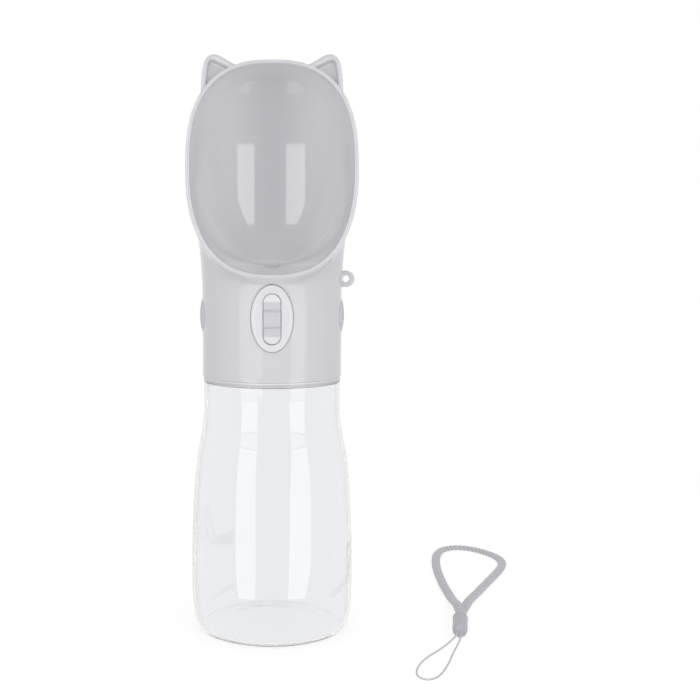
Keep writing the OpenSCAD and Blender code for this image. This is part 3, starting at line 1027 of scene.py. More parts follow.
@dataclass
class WristStrap:
    """A flat braid doubled into a loop, a ferrule and a thin string loop.

    Both routes are drawn with the ferrule's back as their origin and its length
    along -Y; lay turns them and puts them in their place on the ground.
    """

    band_width: float = 4.6
    band_height: float = 2.4
    band_relief: float = 0.2
    band_stations: int = 1500
    band_around: int = 36
    band_squareness: float = 0.8
    plait_strands: int = 4
    plait_pitch: float = 3.0
    plait_phase: float = 0.8
    plait_contrast: float = 3.0
    crown_power: float = 0.7
    crown_level: float = 0.8
    string_diameter: float = 0.8
    string_strands: int = 3
    string_pitch: float = 2.2
    string_relief: float = 0.12
    string_stations: int = 900
    string_around: int = 16
    smoothing: int = 61
    place_x: float = 86.4
    place_y: float = -1.8
    turn: float = 9.0
    ferrule_length: float = 19.5
    ferrule_radius: float = 3.5
    ferrule_tip: float = 1.6
    ferrule_around: int = 144
    rib_height: float = 0.13
    rib_start: float = 4.0
    rib_fade: float = 1.5
    rib_gap: float = 0.55
    # The dark colours are painted shade, for the troughs between strands.
    braid_yarn: Yarn = Yarn("strap_braid", light=(0.76, 0.76, 0.79), trough_shade=(0.2, 0.2, 0.21))
    string_yarn: Yarn = Yarn("thin_string", light=(0.70, 0.70, 0.72),
                             trough_shade=(0.42, 0.42, 0.44), fibre_per_mm=14.0)
    ferrule_plastic: MouldedPlastic = MouldedPlastic(
        "ferrule_plastic", (0.44, 0.435, 0.47), roughness=0.38, coat=0.1, haze=0.1)
    band_route: Array = field(default_factory=lambda: np.array([
        (0, 0, 4.8), (0, 5.8, 4.8), (-1.1, 12.8, 4.8), (-2.1, 19.8, 4.5),
        (-3.5, 27.8, 3.2), (-4.9, 37.8, 1.9), (-6.5, 47.8, 1.3), (-9.1, 61.8, 1.3),
        (-11.5, 77.8, 1.3), (-13.3, 93.8, 1.3), (-14.1, 107.8, 1.3), (-13.7, 120.8, 1.3),
        (-11.3, 130.8, 1.3), (-6.9, 136.2, 1.3), (-1.3, 137.8, 1.3), (4.9, 136, 1.3),
        (11.3, 130.8, 1.3), (16.9, 123.8, 1.3), (20.3, 115.8, 1.3), (21.5, 106.8, 1.3),
        (20.3, 96.8, 1.3), (16.9, 82.8, 1.3), (12.5, 66.8, 1.3), (8.3, 50.8, 1.3),
        (4.3, 36.8, 1.3), (1.9, 23.8, 1.4), (0.5, 12.8, 1.8), (0, 5.8, 2.15),
        (0, 0, 2.15)], float))
    string_route: Array = field(default_factory=lambda: np.array([
        (-0.7, -19.5, 3.5), (-0.7, -21, 3.4), (-2.5, -25.2, 2.4), (-5.3, -30.2, 1.2),
        (-8.5, -36.2, 0.5), (-12.7, -45.2, 0.5), (-15.7, -53.8, 0.5), (-17.1, -62.2, 0.5),
        (-16.9, -68.2, 0.5), (-15.1, -72.2, 0.5), (-12.1, -73.6, 0.5), (-8.7, -70.2, 0.5),
        (-6.1, -62.2, 0.5), (-4.1, -51.2, 0.5), (-2.7, -40.2, 0.5), (-1.1, -31.2, 0.9),
        (0.3, -25.2, 2.3), (0.6, -21, 3.4), (0.6, -19.5, 3.5)], float))

    def lay(self, points: Array) -> Array:
        """Turn points about the ferrule's back and put that end in its place.

        Args:
            points: the points as drawn.

        Returns:
            The points on the ground.
        """
        a = math.radians(self.turn)
        x, y = points[..., 0], points[..., 1]
        return np.stack([self.place_x + x * math.cos(a) + y * math.sin(a),
                         self.place_y - x * math.sin(a) + y * math.cos(a),
                         points[..., 2]], -1)

    def sweep(self, line: Array, offset: Array) -> Array:
        """Carry cross-sections along a line that lies nearly flat.

        The section's first coordinate goes across, level with the ground, and the
        second straight up, square to the line's own direction.

        Args:
            line: the centre line.
            offset: for each station, the section's points (across, up).

        Returns:
            Rings of points.
        """
        ahead = np.gradient(line, axis=0)
        ahead /= np.linalg.norm(ahead, axis=1, keepdims=True)
        across = np.cross((0.0, 0.0, 1.0), ahead)
        across /= np.linalg.norm(across, axis=1, keepdims=True)
        up = np.cross(ahead, across)
        return (line[:, None] + offset[..., :1] * across[:, None]
                + offset[..., 1:] * up[:, None])

    def build_band(self) -> tuple[bpy.types.Object, Array]:
        """The braid: two families of strands cross over and under.

        Each family is a ridge |cos| of (length / pitch +- angle). The higher of the
        two stands on top where the plait's checks say so, and lifts the surface.

        Returns:
            The piece and its centre line.
        """
        count, around = self.band_stations, self.band_around
        line = softened(spline(self.lay(self.band_route), count), self.smoothing)
        angle = angles(around)
        length = np.linspace(0, line_length(line), count)[:, None]
        left = self.plait_strands * angle + TURN * length / self.plait_pitch
        right = self.plait_strands * angle - TURN * length / self.plait_pitch
        ridge_l, ridge_r = np.abs(np.cos(left / 2)), np.abs(np.cos(right / 2))
        check = 0.5 + 0.5 * np.tanh(
            self.plait_contrast * np.sin(left / 2 + self.plait_phase)
            * np.sin(right / 2 + self.plait_phase))
        crown = np.maximum(ridge_l * check, ridge_r * (1 - check)) ** self.crown_power
        lift = self.band_relief * (crown - self.crown_level)
        c, s = np.cos(angle), np.sin(angle)
        wide = self.band_width / 2 * squared_up(c, self.band_squareness)
        high = self.band_height / 2 * squared_up(s, self.band_squareness)
        offset = np.stack([wide + lift * c, high + lift * s], -1)
        mean_radius = (self.band_width + self.band_height) / 4
        uv = np.stack(np.broadcast_arrays(angle * mean_radius, length), -1)
        # The strand crown also goes to the yarn, which paints shade in the troughs.
        skin = Skin(self.sweep(line, offset), line[0], line[-1], uv_mm=uv, crown=crown)
        return skin.build("strap_braid", self.braid_yarn.build(), 60.0), line

    def build_string(self) -> tuple[bpy.types.Object, Array]:
        """The string: three strands twisted together.

        Its radius is r (1 - relief + relief * crown), with the crown from
        cos(3 * angle - turns).

        Returns:
            The piece and its centre line.
        """
        count, around = self.string_stations, self.string_around
        line = softened(spline(self.lay(self.string_route), count), self.smoothing)
        angle = angles(around)
        length = np.linspace(0, line_length(line), count)[:, None]
        twist = self.string_strands * angle - TURN * length / self.string_pitch
        crown = 0.5 + 0.5 * np.cos(twist)
        relief = self.string_relief
        radius = self.string_diameter / 2 * (1 - relief + relief * crown)
        offset = np.stack([radius * np.cos(angle), radius * np.sin(angle)], -1)
        uv = np.stack(np.broadcast_arrays(angle * self.string_diameter / 2, length), -1)
        # The strand crown also goes to the yarn, which paints shade in the troughs.
        skin = Skin(self.sweep(line, offset), line[0], line[-1], uv_mm=uv, crown=crown)
        return skin.build("strap_cord_thin", self.string_yarn.build(), 60.0), line

    def build_ferrule(self) -> bpy.types.Object:
        """The ferrule: a turned sleeve with a collar, four low ribs and a round end.

        A rib stands where |sin 2a| is small: height * exp(-(sin 2a / gap)^6). The
        ribs fade out towards the collar and the round end.

        Returns:
            The piece.
        """
        r, length, tip = self.ferrule_radius, self.ferrule_length, self.ferrule_tip
        profile = rounded([
            (NEAR_AXIS, 0.0, 0), (r - 0.35, 0.0, 0.3), (r - 0.05, 0.4, 0.3),
            (r - 0.05, 2.6, 0.2), (r - 0.35, 2.8, 0.15), (r - 0.35, 3.3, 0.15),
            (r - 0.2, 3.5, 0.25), (r - 0.2, length - 4.0, 2.0),
            (r - 0.35, length - 1.2, 1.2), (r - tip, length, 1.3),
            (NEAR_AXIS, length, 0)], 7)
        angle = angles(self.ferrule_around)
        height = profile[:, 1]
        fade = (np.clip((height - self.rib_start) / self.rib_fade, 0, 1)
                * np.clip((length - self.rib_start - height) / self.rib_fade, 0, 1))
        ribs = np.exp(-(np.sin(2 * angle) / self.rib_gap) ** 6)
        rings = turned(profile, self.ferrule_around,
                       self.rib_height * fade[:, None] * ribs)
        x, y, z = rings[..., 0], rings[..., 1], rings[..., 2]
        laid = self.lay(np.stack([x, -z, y + r], -1))
        ends = self.lay(np.array([(0.0, 0.0, r), (0.0, -length, r)]))
        return Skin(laid, ends[0], ends[1]).build(
            "ferrule", self.ferrule_plastic.build(), 40.0)

    def build(self) -> None:
        """Make the three pieces, hidden from gloss, and put them on the bottle."""
        ferrule = self.build_ferrule()
        band, band_line = self.build_band()
        string, string_line = self.build_string()
        for piece in (ferrule, band, string):
            piece.visible_glossy = False
        dress(ferrule, Body.BOTTLE, "ferrule_plastic", "strap_ferrule")
        dress(band, Body.BOTTLE, "strap_braid", "strap_band")
        dress(string, Body.BOTTLE, "string", "strap_string")
        band_line[0] * MM
        line_length(band_line) * MM
        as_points(band_line * MM)
        string_line[0] * MM
        line_length(string_line) * MM
        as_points(string_line * MM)


# ---------------------------------------------------------------- bottle and screw cap


@dataclass(frozen=True)
class Thread:
    """A screw thread that stands out from its cylinder.

    The ridge is depth * smooth(1.6 |cos|^8) of (height - pitch * turns), and it
    fades over a third of a pitch at both ends.
    """

    low: float
    high: float
    pitch: float
    depth: float
    phase: float = 0.0
    sharpness: int = 8
    fullness: float = 1.6

    def swell(self, height: Array, angle: Array) -> Array:
        """Height of the thread above its cylinder.

        Args:
            height: heights of the rings.
            angle: angles of the points.

        Returns:
            Extra radius for each ring and angle.
        """
        turns = (height[:, None] - self.low) / self.pitch - angle[None] / TURN - self.phase
        ridge = np.abs(np.cos(math.pi * turns)) ** self.sharpness
        ridge = np.clip(self.fullness * ridge, 0.0, 1.0)
        ridge = ridge * ridge * (3 - 2 * ridge)
        fade = (np.clip((height - self.low) * 3 / self.pitch, 0, 1)
                * np.clip((self.high - height) * 3 / self.pitch, 0, 1))
        return self.depth * ridge * fade[:, None]


@dataclass
class ClearBottle:
    """The clear bottle: waisted wall, thick base, shoulder and threaded neck."""

    belly_r: float = 36.5
    waist_r: float = 30.6
    belly_z: float = 21.0
    waist_z: float = 103.0
    shoulder_z: float = 113.65
    base_r: float = 31.0
    wall: float = 1.6
    neck_r: float = 26.6
    neck_bore_r: float = 24.6
    neck_top: float = 124.4
    punt: float = 1.1
    shoulder_t: float = 0.45
    pitch: float = THREAD_PITCH
    thread_depth: float = THREAD_DEPTH
    thread_step: float = THREAD_STEP
    around: int = 192
    plastic: ClearPlastic = ClearPlastic()

    def outline(self, steps: int) -> Array:
        """Radius and height of the outside, as two cubic curves.

        Args:
            steps: points on the side's curve; the foot's has half as many.

        Returns:
            Points from the foot to the waist.
        """
        r_low, r_high = self.belly_r, self.waist_r
        span = self.waist_z - self.belly_z
        foot = [(self.base_r, 0.0), (r_low - 2, 0.0), (r_low - 0.4, 7.0),
                (r_low, self.belly_z)]
        side = [(r_low, self.belly_z), (r_low, self.belly_z + 0.85 * span),
                (r_high, self.waist_z - 0.24 * span), (r_high, self.waist_z)]
        t = np.linspace(0, 1, steps)
        return np.vstack([bezier(foot, t[::2])[:-1], bezier(side, t)])

    def within(self, outer: Array) -> Array:
        """The inside of the wall: the outside moved in square to itself.

        Args:
            outer: radius and height of the outside.

        Returns:
            Radius and height of the inside.
        """
        slope = np.gradient(outer, axis=0)
        slope /= np.linalg.norm(slope, axis=1, keepdims=True)
        return outer + self.wall * np.stack([-slope[:, 1], slope[:, 0]], -1)

    def build(self) -> None:
        """Outside from the base up to the lip, then inside down to the floor."""
        top = self.neck_top
        foot = rounded([(3.0, self.punt, 0), (20.0, self.punt, 5.0), (29.0, 0.0, 1.5),
                        (self.base_r - 0.5, 0.0, 0)], 8)
        neck_z = np.arange(self.shoulder_z + 1.2, top - 0.9, self.thread_step)
        collar = rounded([(self.waist_r, self.waist_z + 1, 0),
                          (self.waist_r, self.shoulder_z, 0.35),
                          (self.neck_r, self.shoulder_z, 0.8),
                          (self.neck_r, self.shoulder_z + 1.0, 0)], 6)
        neck = np.stack([np.full_like(neck_z, self.neck_r), neck_z], -1)
        lip = rounded([(self.neck_r, top - 0.8, 0), (self.neck_r, top, 0.5),
                       (self.neck_bore_r, top, 0.5), (self.neck_bore_r, top - 0.8, 0)], 5)
        ceiling = self.shoulder_z - self.shoulder_t
        inside = rounded([(self.neck_bore_r, self.shoulder_z + 1, 0),
                          (self.neck_bore_r, ceiling, 0.8),
                          (self.waist_r - self.wall, ceiling, 0.5),
                          (self.waist_r - self.wall, self.waist_z + 1, 0)], 6)
        outer = self.outline(60)
        inner = self.within(outer)[::-1]
        low, high = self.wall, self.wall + self.punt
        floor = rounded([(self.base_r - 0.5, low, 0), (29.6, low, 0.4),
                         (20.0, high, 5.0), (3.0, high, 0)], 8)
        profile = np.vstack([foot, outer, collar, neck, lip, inside, inner, floor])
        angle = angles(self.around)
        swell = np.zeros((len(profile), self.around))
        start = len(foot) + len(outer) + len(collar)
        thread = Thread(self.shoulder_z + 2.2, top - 1.6, self.pitch, self.thread_depth)
        swell[start:start + len(neck)] = thread.swell(neck_z, angle)
        skin = Skin(turned(profile, self.around, swell), (0, 0, self.punt),
                    (0, 0, high))
        piece = skin.build("clear_bottle", self.plastic.build(), 50.0)
        dress(piece, Body.BOTTLE, "clear_plastic", "bottle")


@dataclass
class ScrewCap:
    """The screw cap that closes the neck and shows as a band under the shell."""

    band_r: float = 30.8
    band_z: float = 113.71
    band_top: float = 115.45
    # Height of the painted highlight along the band's top edge.
    painted_highlight_band: float = 0.5
    cap_r: float = 29.5
    bore_r: float = 27.8
    plate_z: float = 125.9
    plate_top: float = 128.3
    pitch: float = THREAD_PITCH
    thread_depth: float = THREAD_DEPTH
    collar_r: float = 7.2
    collar_top: float = 130.9
    socket_r: float = 5.1
    hole_r: float = 3.0
    thread_step: float = THREAD_STEP
    around: int = 192
    # Its second, lighter colour is the painted highlight on the band's top edge.
    plastic: PaintedLightPlastic = PaintedLightPlastic("cap_plastic", (0.53, 0.53, 0.55), roughness=0.25,
                                         coat=0.1, painted_shade_and_highlight=(0.74, 0.74, 0.75))

    def profile(self, bore_z: Array, edge: float) -> Array:
        """The closed section: bore, band, wall, plate and the inlet's collar.

        Args:
            bore_z: heights along the threaded bore.
            edge: where the band's painted highlight begins.

        Returns:
            Radius and height of each ring.
        """
        return np.vstack([
            rounded([(self.hole_r, self.plate_top, 0), (self.hole_r, self.plate_z, 0.2),
                     (self.bore_r, self.plate_z, 0.6),
                     (self.bore_r, self.plate_z - 0.7, 0)], 4),
            np.stack([np.full_like(bore_z, self.bore_r), bore_z], -1)[::-1],
            rounded([(self.bore_r, self.band_z + 1.1, 0), (self.bore_r, self.band_z, 0.4),
                     (self.band_r, self.band_z, 0.15), (self.band_r, edge - 0.1, 0),
                     (self.band_r, edge, 0), (self.band_r, self.band_top, 0.15),
                     (self.cap_r, self.band_top, 0.2), (self.cap_r, self.plate_top, 0.5),
                     (self.collar_r, self.plate_top, 0.5),
                     (self.collar_r, self.collar_top, 0.3),
                     (self.socket_r, self.collar_top, 0.3),
                     (self.socket_r, self.plate_top, 0.1),
                     (self.hole_r, self.plate_top, 0)], 4)])

    def build(self) -> None:
        """Turn the section, with the thread in its bore and a painted highlight on the band's
        top edge.
        """
        bore_z = np.arange(self.band_z + 1.2, self.plate_z - 0.8, self.thread_step)
        angle = angles(self.around)
        edge = self.band_top - self.painted_highlight_band
        profile = self.profile(bore_z, edge)
        swell = np.zeros((len(profile), self.around))
        first = int(np.argmax(profile[:, 1] <= bore_z[-1] + 1e-6))
        thread = Thread(self.band_z + 2.2, self.plate_z - 1.4, self.pitch,
                        self.thread_depth, phase=0.5)
        swell[first:first + len(bore_z)] = -thread.swell(bore_z[::-1], angle)
        rings = turned(profile, self.around, swell)
        # Painted highlight: the band's top edge takes the lighter colour.
        painted_light_and_shade = (rings[..., 2] > edge - 0.01) & (rings[..., 2] < self.band_top + 0.01)
        skin = Skin(rings, loop=True, crown=painted_light_and_shade.astype(float))
        piece = skin.build("screw_cap", self.plastic.build(), 35.0)
        dress(piece, Body.HEAD, "cap_plastic", "thread_cap")


# ---------------------------------------------------------------- scoop head


@dataclass
class ScoopShell:
    """The moulded head: skirt, flared scoop, rim, bowl and the roof under it.

    The handles of the wall, the bowl and the roof are lengths at the sides, with
    what the back and the front add. The window and the bezel's seat are widths and
    heights, window_y is where the window's cut begins and ends, and drain_boss is
    the socket's outer radius, its bore's radius and its depth.
    """

    skirt_r: float = SKIRT_R
    wall: float = 1.6
    shell_z: float = 115.5
    skirt_top: float = 150.0
    lip_reach: float = 34.0
    lip_z: float = 162.0
    rim_length: float = 103.6
    rim_half_w: float = 37.7
    rim_widest: float = 0.53
    rim_power: float = 2.5
    lip_drop: float = 1.7
    rim_lean: float = 23.9
    rim_t: float = 1.75
    rim_crown: float = 0.55
    floor_z: float = 166.0
    floor_t: float = 2.4
    pole_y: float = -12.0
    floor_back: float = 0.17
    floor_lift: float = 0.06
    wall_up: tuple = (25, 10, -14)
    wall_back: tuple = (17, 7, -13)
    bowl_back: tuple = (14, 13, -11)
    bowl_flat: tuple = (29, 6, -20)
    roof_up: tuple = (22, 50, -9)
    roof_flat: tuple = (22, 8, -14)
    bowl_inset: float = 1.2
    wall_inset: float = 1.5
    chin_in: float = 3.2
    chin_low: float = 2.4
    chin_out: float = 1.4
    around: int = 288
    bowl_rows: int = 90
    crown_rows: int = 11
    wall_rows: int = 64
    skirt_rows: int = 22
    inside_rows: int = 12
    roof_rows: int = 40
    seat_rows: int = 14
    oval_around: int = 160
    disc_around: int = 96
    hole_around: int = 72
    # Painted shade along the bowl's middle, growing up its back, and painted light near the
    # rim's sides and round the floor, written as the crown attribute.
    painted_shade_half: float = 18.0
    painted_shade_rise: float = 8.0
    painted_shade_rows: int = 10
    rim_painted_light: float = 0.8
    rim_painted_light_rows: int = 14
    floor_painted_light: float = 0.45
    floor_painted_light_z: float = 0.5
    floor_painted_light_half: float = 1.2
    # Its second colour is painted shade, for the bowl's middle and the ears' hollows.
    plastic: PaintedLightPlastic = PaintedLightPlastic(
        "head_plastic", (0.62, 0.615, 0.64), roughness=0.075, coat=0.15, haze=0.03,
        painted_shade_and_highlight=(0.485, 0.48, 0.51))
    key_z: float = KEY_Z
    window: tuple = (17.2, 28.3)
    window_y: tuple = (-40.0, -26.6)
    bezel_seat: tuple = (18.8, 29.5)
    seat_deep: float = 0.6
    seat_rise: float = 0.35
    pad_r: float = 8.9
    pad_floor: float = 28.5
    cup_r: float = 10.2
    cup_t: float = 2.1
    drain_y: float = -16.6
    drain_r: float = 3.8
    drain_shoulder: float = 161.6
    drain_boss: tuple = (7.4, 5.9, 4.0)

    def frame_axes(self) -> tuple[Array, Array, Array]:
        """The rim plane.

        Returns:
            The lip point, the plane's forward normal and its way up.
        """
        lean = math.radians(self.rim_lean)
        return (np.array([0.0, -self.lip_reach, self.lip_z]),
                np.array([0.0, -math.cos(lean), math.sin(lean)]),
                np.array([0.0, math.sin(lean), math.cos(lean)]))

    def on_rim(self, across: Any, along_up: Any, lift: Any) -> Array:
        """Points given in the rim plane.

        Args:
            across: places to the right.
            along_up: places up the plane from the lip.
            lift: heights in front of the plane.

        Returns:
            lip + across * right + along_up * up + lift * normal.
        """
        lip, normal, up = self.frame_axes()
        across, along_up, lift = np.broadcast_arrays(across, along_up, lift)
        return (lip + across[..., None] * np.array([1.0, 0.0, 0.0])
                + along_up[..., None] * up + lift[..., None] * normal)

    def rim_flat(self, angle: Array, inset: Any) -> tuple[Array, Array]:
        """The rim's outline, |x/a|^p + |y/b|^p = 1 with a longer lower half.

        The lower half's b reaches lip_drop below the lip point.

        Args:
            angle: where round the rim, 0 at the side and a quarter turn at the top.
            inset: distance in from the outline.

        Returns:
            Places across and up the rim plane.
        """
        power = 2.0 / self.rim_power
        c, s = np.cos(angle), np.sin(angle)
        share = np.where(s >= 0, 1 - self.rim_widest, self.rim_widest)
        half = self.rim_length * share - inset + np.where(s < 0, self.lip_drop, 0.0)
        return ((self.rim_half_w - inset) * squared_up(c, power),
                self.rim_length * self.rim_widest + half * squared_up(s, power))

    def rim_point(self, angle: Array, inset: Any, lift: Any) -> Array:
        """Points on the rim outline moved in by inset and forward by lift."""
        return self.on_rim(*self.rim_flat(angle, inset), lift)

    @staticmethod
    def handle(values: Sequence[float], angle: Array) -> Array:
        """Length of a curve's handle all round.

        Args:
            values: the length at the sides, and what the back and the front add.
            angle: angles round the axis.

        Returns:
            side + back * sin^2 behind, side + front * sin^2 in front.
        """
        s = np.sin(angle)
        return (values[0] + values[1] * np.maximum(s, 0) ** 2
                + values[2] * np.maximum(-s, 0) ** 2)

    @staticmethod
    def circle(angle: Array, radius: float, height: Any) -> Array:
        """Points of a circle about the Z axis."""
        height = np.broadcast_to(height, angle.shape)
        return np.stack([radius * np.cos(angle), radius * np.sin(angle), height], -1)

    def towards_pole(self, angle: Array, pole: Array, length: Array) -> Array:
        """The control points by which the curves run level into a pole.

        Args:
            angle: angles round the axis.
            pole: the pole of the floor or of the roof under it.
            length: how far from the pole they lie.

        Returns:
            The points, a little higher towards the back.
        """
        rise = length * (np.sin(angle) * self.floor_back + self.floor_lift)
        return pole + np.stack([length * np.cos(angle), length * np.sin(angle), rise], -1)

    def bowl(self, angle: Array, pole: Array) -> Array:
        """The bowl from the rim down to its pole, as cubic curves.

        Args:
            angle: angles round the axis.
            pole: the bowl's lowest point.

        Returns:
            The rings.
        """
        return bezier([
            self.rim_point(angle, self.rim_t, 0.0),
            self.rim_point(angle, self.rim_t + self.bowl_inset,
                           -self.handle(self.bowl_back, angle)),
            self.towards_pole(angle, pole, self.handle(self.bowl_flat, angle)),
            np.broadcast_to(pole, (self.around, 3))], np.linspace(0, 1, self.bowl_rows)[:-1])

    def rim_crest(self, angle: Array) -> Array:
        """The rim's crest: half an ellipse from the bowl's edge to the outer one.

        Args:
            angle: angles round the axis.

        Returns:
            The rings.
        """
        half = self.rim_t / 2
        turn = np.linspace(0, math.pi, self.crown_rows)[1:-1]
        return np.stack([self.rim_point(angle, half + half * math.cos(a),
                                        self.rim_crown * math.sin(a)) for a in turn])

    def flare(self, angle: Array) -> Array:
        """The outer wall from the skirt up to the rim, as cubic curves.

        In front, by sin^4, the handles are moved so that the wall is full under the
        lip: down by chin_low, out past the rim by chin_in and forward by chin_out.

        Args:
            angle: angles round the axis.

        Returns:
            The rings.
        """
        r, up = self.skirt_r, self.skirt_top + self.handle(self.wall_up, angle)
        chin = np.maximum(-np.sin(angle), 0) ** 4
        return bezier([
            self.circle(angle, r, self.skirt_top),
            self.circle(angle, r, up - self.chin_low * chin),
            self.rim_point(angle, self.wall_inset - self.chin_in * chin,
                           self.chin_out * chin - self.handle(self.wall_back, angle)),
            self.rim_point(angle, 0.0, 0.0)], np.linspace(0, 1, self.wall_rows))

    def skirt(self, angle: Array) -> Array:
        """Down the skirt, round its hem and up its inside.

        Args:
            angle: angles round the axis.

        Returns:
            The rings.
        """
        r, inner, low = self.skirt_r, self.skirt_r - self.wall, self.shell_z
        down = np.linspace(self.skirt_top, low + 0.5, self.skirt_rows)[1:]
        inside = np.linspace(low, self.skirt_top, self.inside_rows)[1:-1]
        places = [(r, z) for z in down]
        places += [(r - 0.12, low + 0.18), (r - 0.4, low), (inner, low)]
        places += [(inner, z) for z in inside]
        return np.stack([self.circle(angle, radius, z) for radius, z in places])

    def roof(self, angle: Array, pole: Array) -> Array:
        """The roof under the bowl, as cubic curves.

        Args:
            angle: angles round the axis.
            pole: the roof's middle.

        Returns:
            The rings.
        """
        inner = self.skirt_r - self.wall
        return bezier([
            self.circle(angle, inner, self.skirt_top),
            self.circle(angle, inner, self.skirt_top + self.handle(self.roof_up, angle)),
            self.towards_pole(angle, pole, self.handle(self.roof_flat, angle)),
            np.broadcast_to(pole, (self.around, 3))], np.linspace(0, 1, self.roof_rows)[:-1])

    def bowl_painted_light_and_shade(self, angle: Array, bowl: Array) -> Array:
        """Painted shade and painted light of the bowl's rings, from the pole to the rim.

        The painted shade is most along the middle, exp(-(x / painted_shade_half)^2), and none
        at the floor and the rim. Below 0 it is painted light, lighter than outside, near the
        rim's sides and round the floor.

        Args:
            angle: angles round the axis.
            bowl: the rings.

        Returns:
            The painted shade (above 0) and painted light (below 0) of each point.
        """
        count = len(bowl)
        above = bowl[..., 2] - self.floor_z
        middle = np.exp(-(bowl[..., 0] / self.painted_shade_half) ** 2)
        high = 1 - np.exp(-np.maximum(above, 0) / self.painted_shade_rise)
        inward = np.clip(np.linspace(count, 0, count) / self.painted_shade_rows, 0, 1)[:, None]
        # Painted shade: deepest along the middle and higher up the bowl, none by the rim.
        painted_light_and_shade = middle * high * inward
        from_rim = np.arange(count, 0, -1)[:, None] - 1
        # Painted light: lighter than the plain plastic near the rim's sides and in a band
        # round the floor's level.
        painted_light_and_shade -= self.rim_painted_light * np.cos(angle) ** 2 * np.exp(
            -(from_rim / self.rim_painted_light_rows) ** 2)
        painted_light_and_shade -= self.floor_painted_light * np.exp(
            -((above - self.floor_painted_light_z) / self.floor_painted_light_half) ** 2)
        return painted_light_and_shade

    def rings(self) -> tuple[Array, Array, Array, Array]:
        """All rings, from the bowl's pole over the rim and down the skirt to the roof.

        Bowl, outer wall and roof are cubic curves, one for each angle round the
        axis, whose handles blend from side to back and front.

        Returns:
            The rings, the bowl's pole, the roof's pole and the painted light and shade of each
            point.
        """
        angle = angles(self.around)
        bowl_pole = np.array([0.0, self.pole_y, self.floor_z])
        roof_pole = bowl_pole - (0.0, 0.0, self.floor_t)
        bowl = self.bowl(angle, bowl_pole)[::-1]
        rings = np.concatenate([
            bowl, self.rim_crest(angle), self.flare(angle)[::-1], self.skirt(angle),
            self.roof(angle, roof_pole)])
        painted_light_and_shade = np.zeros(rings.shape[:2])
        painted_light_and_shade[:len(bowl)] = self.bowl_painted_light_and_shade(angle, bowl)
        return rings, bowl_pole, roof_pole, painted_light_and_shade

    def window_cutter(self, angle: Array) -> Array:
        """The oval prism that opens the skirt for the key.

        Args:
            angle: angles round the oval.

        Returns:
            The rings.
        """
        x, z = self.window[0] / 2 * np.cos(angle), self.window[1] / 2 * np.sin(angle)
        return np.stack([np.stack([x, np.full_like(x, y), z + self.key_z], -1)
                         for y in self.window_y])

    def seat_cutter(self, angle: Array) -> Array:
        """The bezel's seat, whose back follows the skirt seat_deep inside.

        The back closes in rings that shrink towards the middle, each laid on the
        cylinder y = -sqrt(r^2 - x^2).

        Args:
            angle: angles round the oval.

        Returns:
            The rings.
        """
        height, radius = self.key_z + self.seat_rise, self.skirt_r - self.seat_deep
        width, tall = self.bezel_seat
        x, z = width / 2 * np.cos(angle), tall / 2 * np.sin(angle)
        front = np.stack([x, np.full_like(x, self.window_y[0]), z + height], -1)
        shrink = 1 - np.linspace(0, 1, self.seat_rows)[:-1]
        back = [np.stack([x * share, -np.sqrt(radius ** 2 - (x * share) ** 2),
                          z * share + height], -1) for share in shrink]
        return np.stack([front, *back])

    def cutters(self, spare: bpy.types.Material) -> list[bpy.types.Object]:
        """Solids for the window, the bezel's seat, the pad recesses and the drain.

        Args:
            spare: a finish for them, which the cut faces keep.

        Returns:
            The closed solids.
        """
        def solid(name: str, rings: Array, last_pole: Any = None) -> bpy.types.Object:
            """A closed solid; its last pole is the last ring's middle unless given."""
            end = rings[-1].mean(0) if last_pole is None else last_pole
            return Skin(rings, rings[0].mean(0), end).build(name, spare, 30.0)

        angle = angles(self.oval_around)
        seat_pole = (0.0, self.seat_deep - self.skirt_r, self.key_z + self.seat_rise)
        disc = turned(np.array([(self.pad_r, 0.0), (self.pad_r, 8.0)]), self.disc_around)
        hole = turned(np.array([(self.drain_r, -6.0), (self.drain_r, 8.0)]),
                      self.hole_around)
        return [
            solid("window", self.window_cutter(angle)),
            solid("seat", self.seat_cutter(angle), seat_pole),
            solid("recess_right", along(disc, "x", (self.pad_floor, 0, self.key_z))),
            solid("recess_left", along(disc, "-x", (-self.pad_floor, 0, self.key_z))),
            solid("drain", hole + (0.0, self.drain_y, self.drain_shoulder))]

    def build(self) -> None:
        """The shell with its openings cut, its bosses, ears and eyelet."""
        material = self.plastic.build()
        rings, bowl_pole, roof_pole, painted_light_and_shade = self.rings()
        shell = Skin(rings, bowl_pole, roof_pole, crown=painted_light_and_shade).build(
            "scoop_shell", material, 40.0)
        carve(shell, self.cutters(material), 32.0)
        parts = [self.pad_seat(1, material), self.pad_seat(-1, material),
                 self.drain_socket(material)]
        join(shell, parts)
        dress(shell, Body.HEAD, "head_plastic", "head_shell")
        for side, name in ((1, "ear_right"), (-1, "ear_left")):
            dress(Ear().build(self, side, name, material), Body.HEAD, "head_plastic")
        dress(Eyelet().build(material), Body.HEAD, "head_plastic")

    def pad_seat(self, side: int, material: bpy.types.Material) -> bpy.types.Object:
        """The cup behind a pad's recess, closed at its back.

        Args:
            side: 1 for +X, -1 for -X.
            material: the shell's finish.

        Returns:
            The cup.
        """
        front, back = self.skirt_r - self.wall - 1.75, self.pad_floor - self.cup_t
        profile = rounded([(NEAR_AXIS, back, 0), (self.cup_r, back, 0.8),
                           (self.cup_r, front, 0.2), (self.pad_r, front, 0.1),
                           (self.pad_r, self.pad_floor, 0.1),
                           (NEAR_AXIS, self.pad_floor, 0)], 4)
        rings = turned(profile, self.disc_around)
        laid = along(rings, "x" if side > 0 else "-x", (0, 0, self.key_z))
        return Skin(laid, laid[0].mean(0), laid[-1].mean(0)).build(
            "pad_seat", material, 40.0)

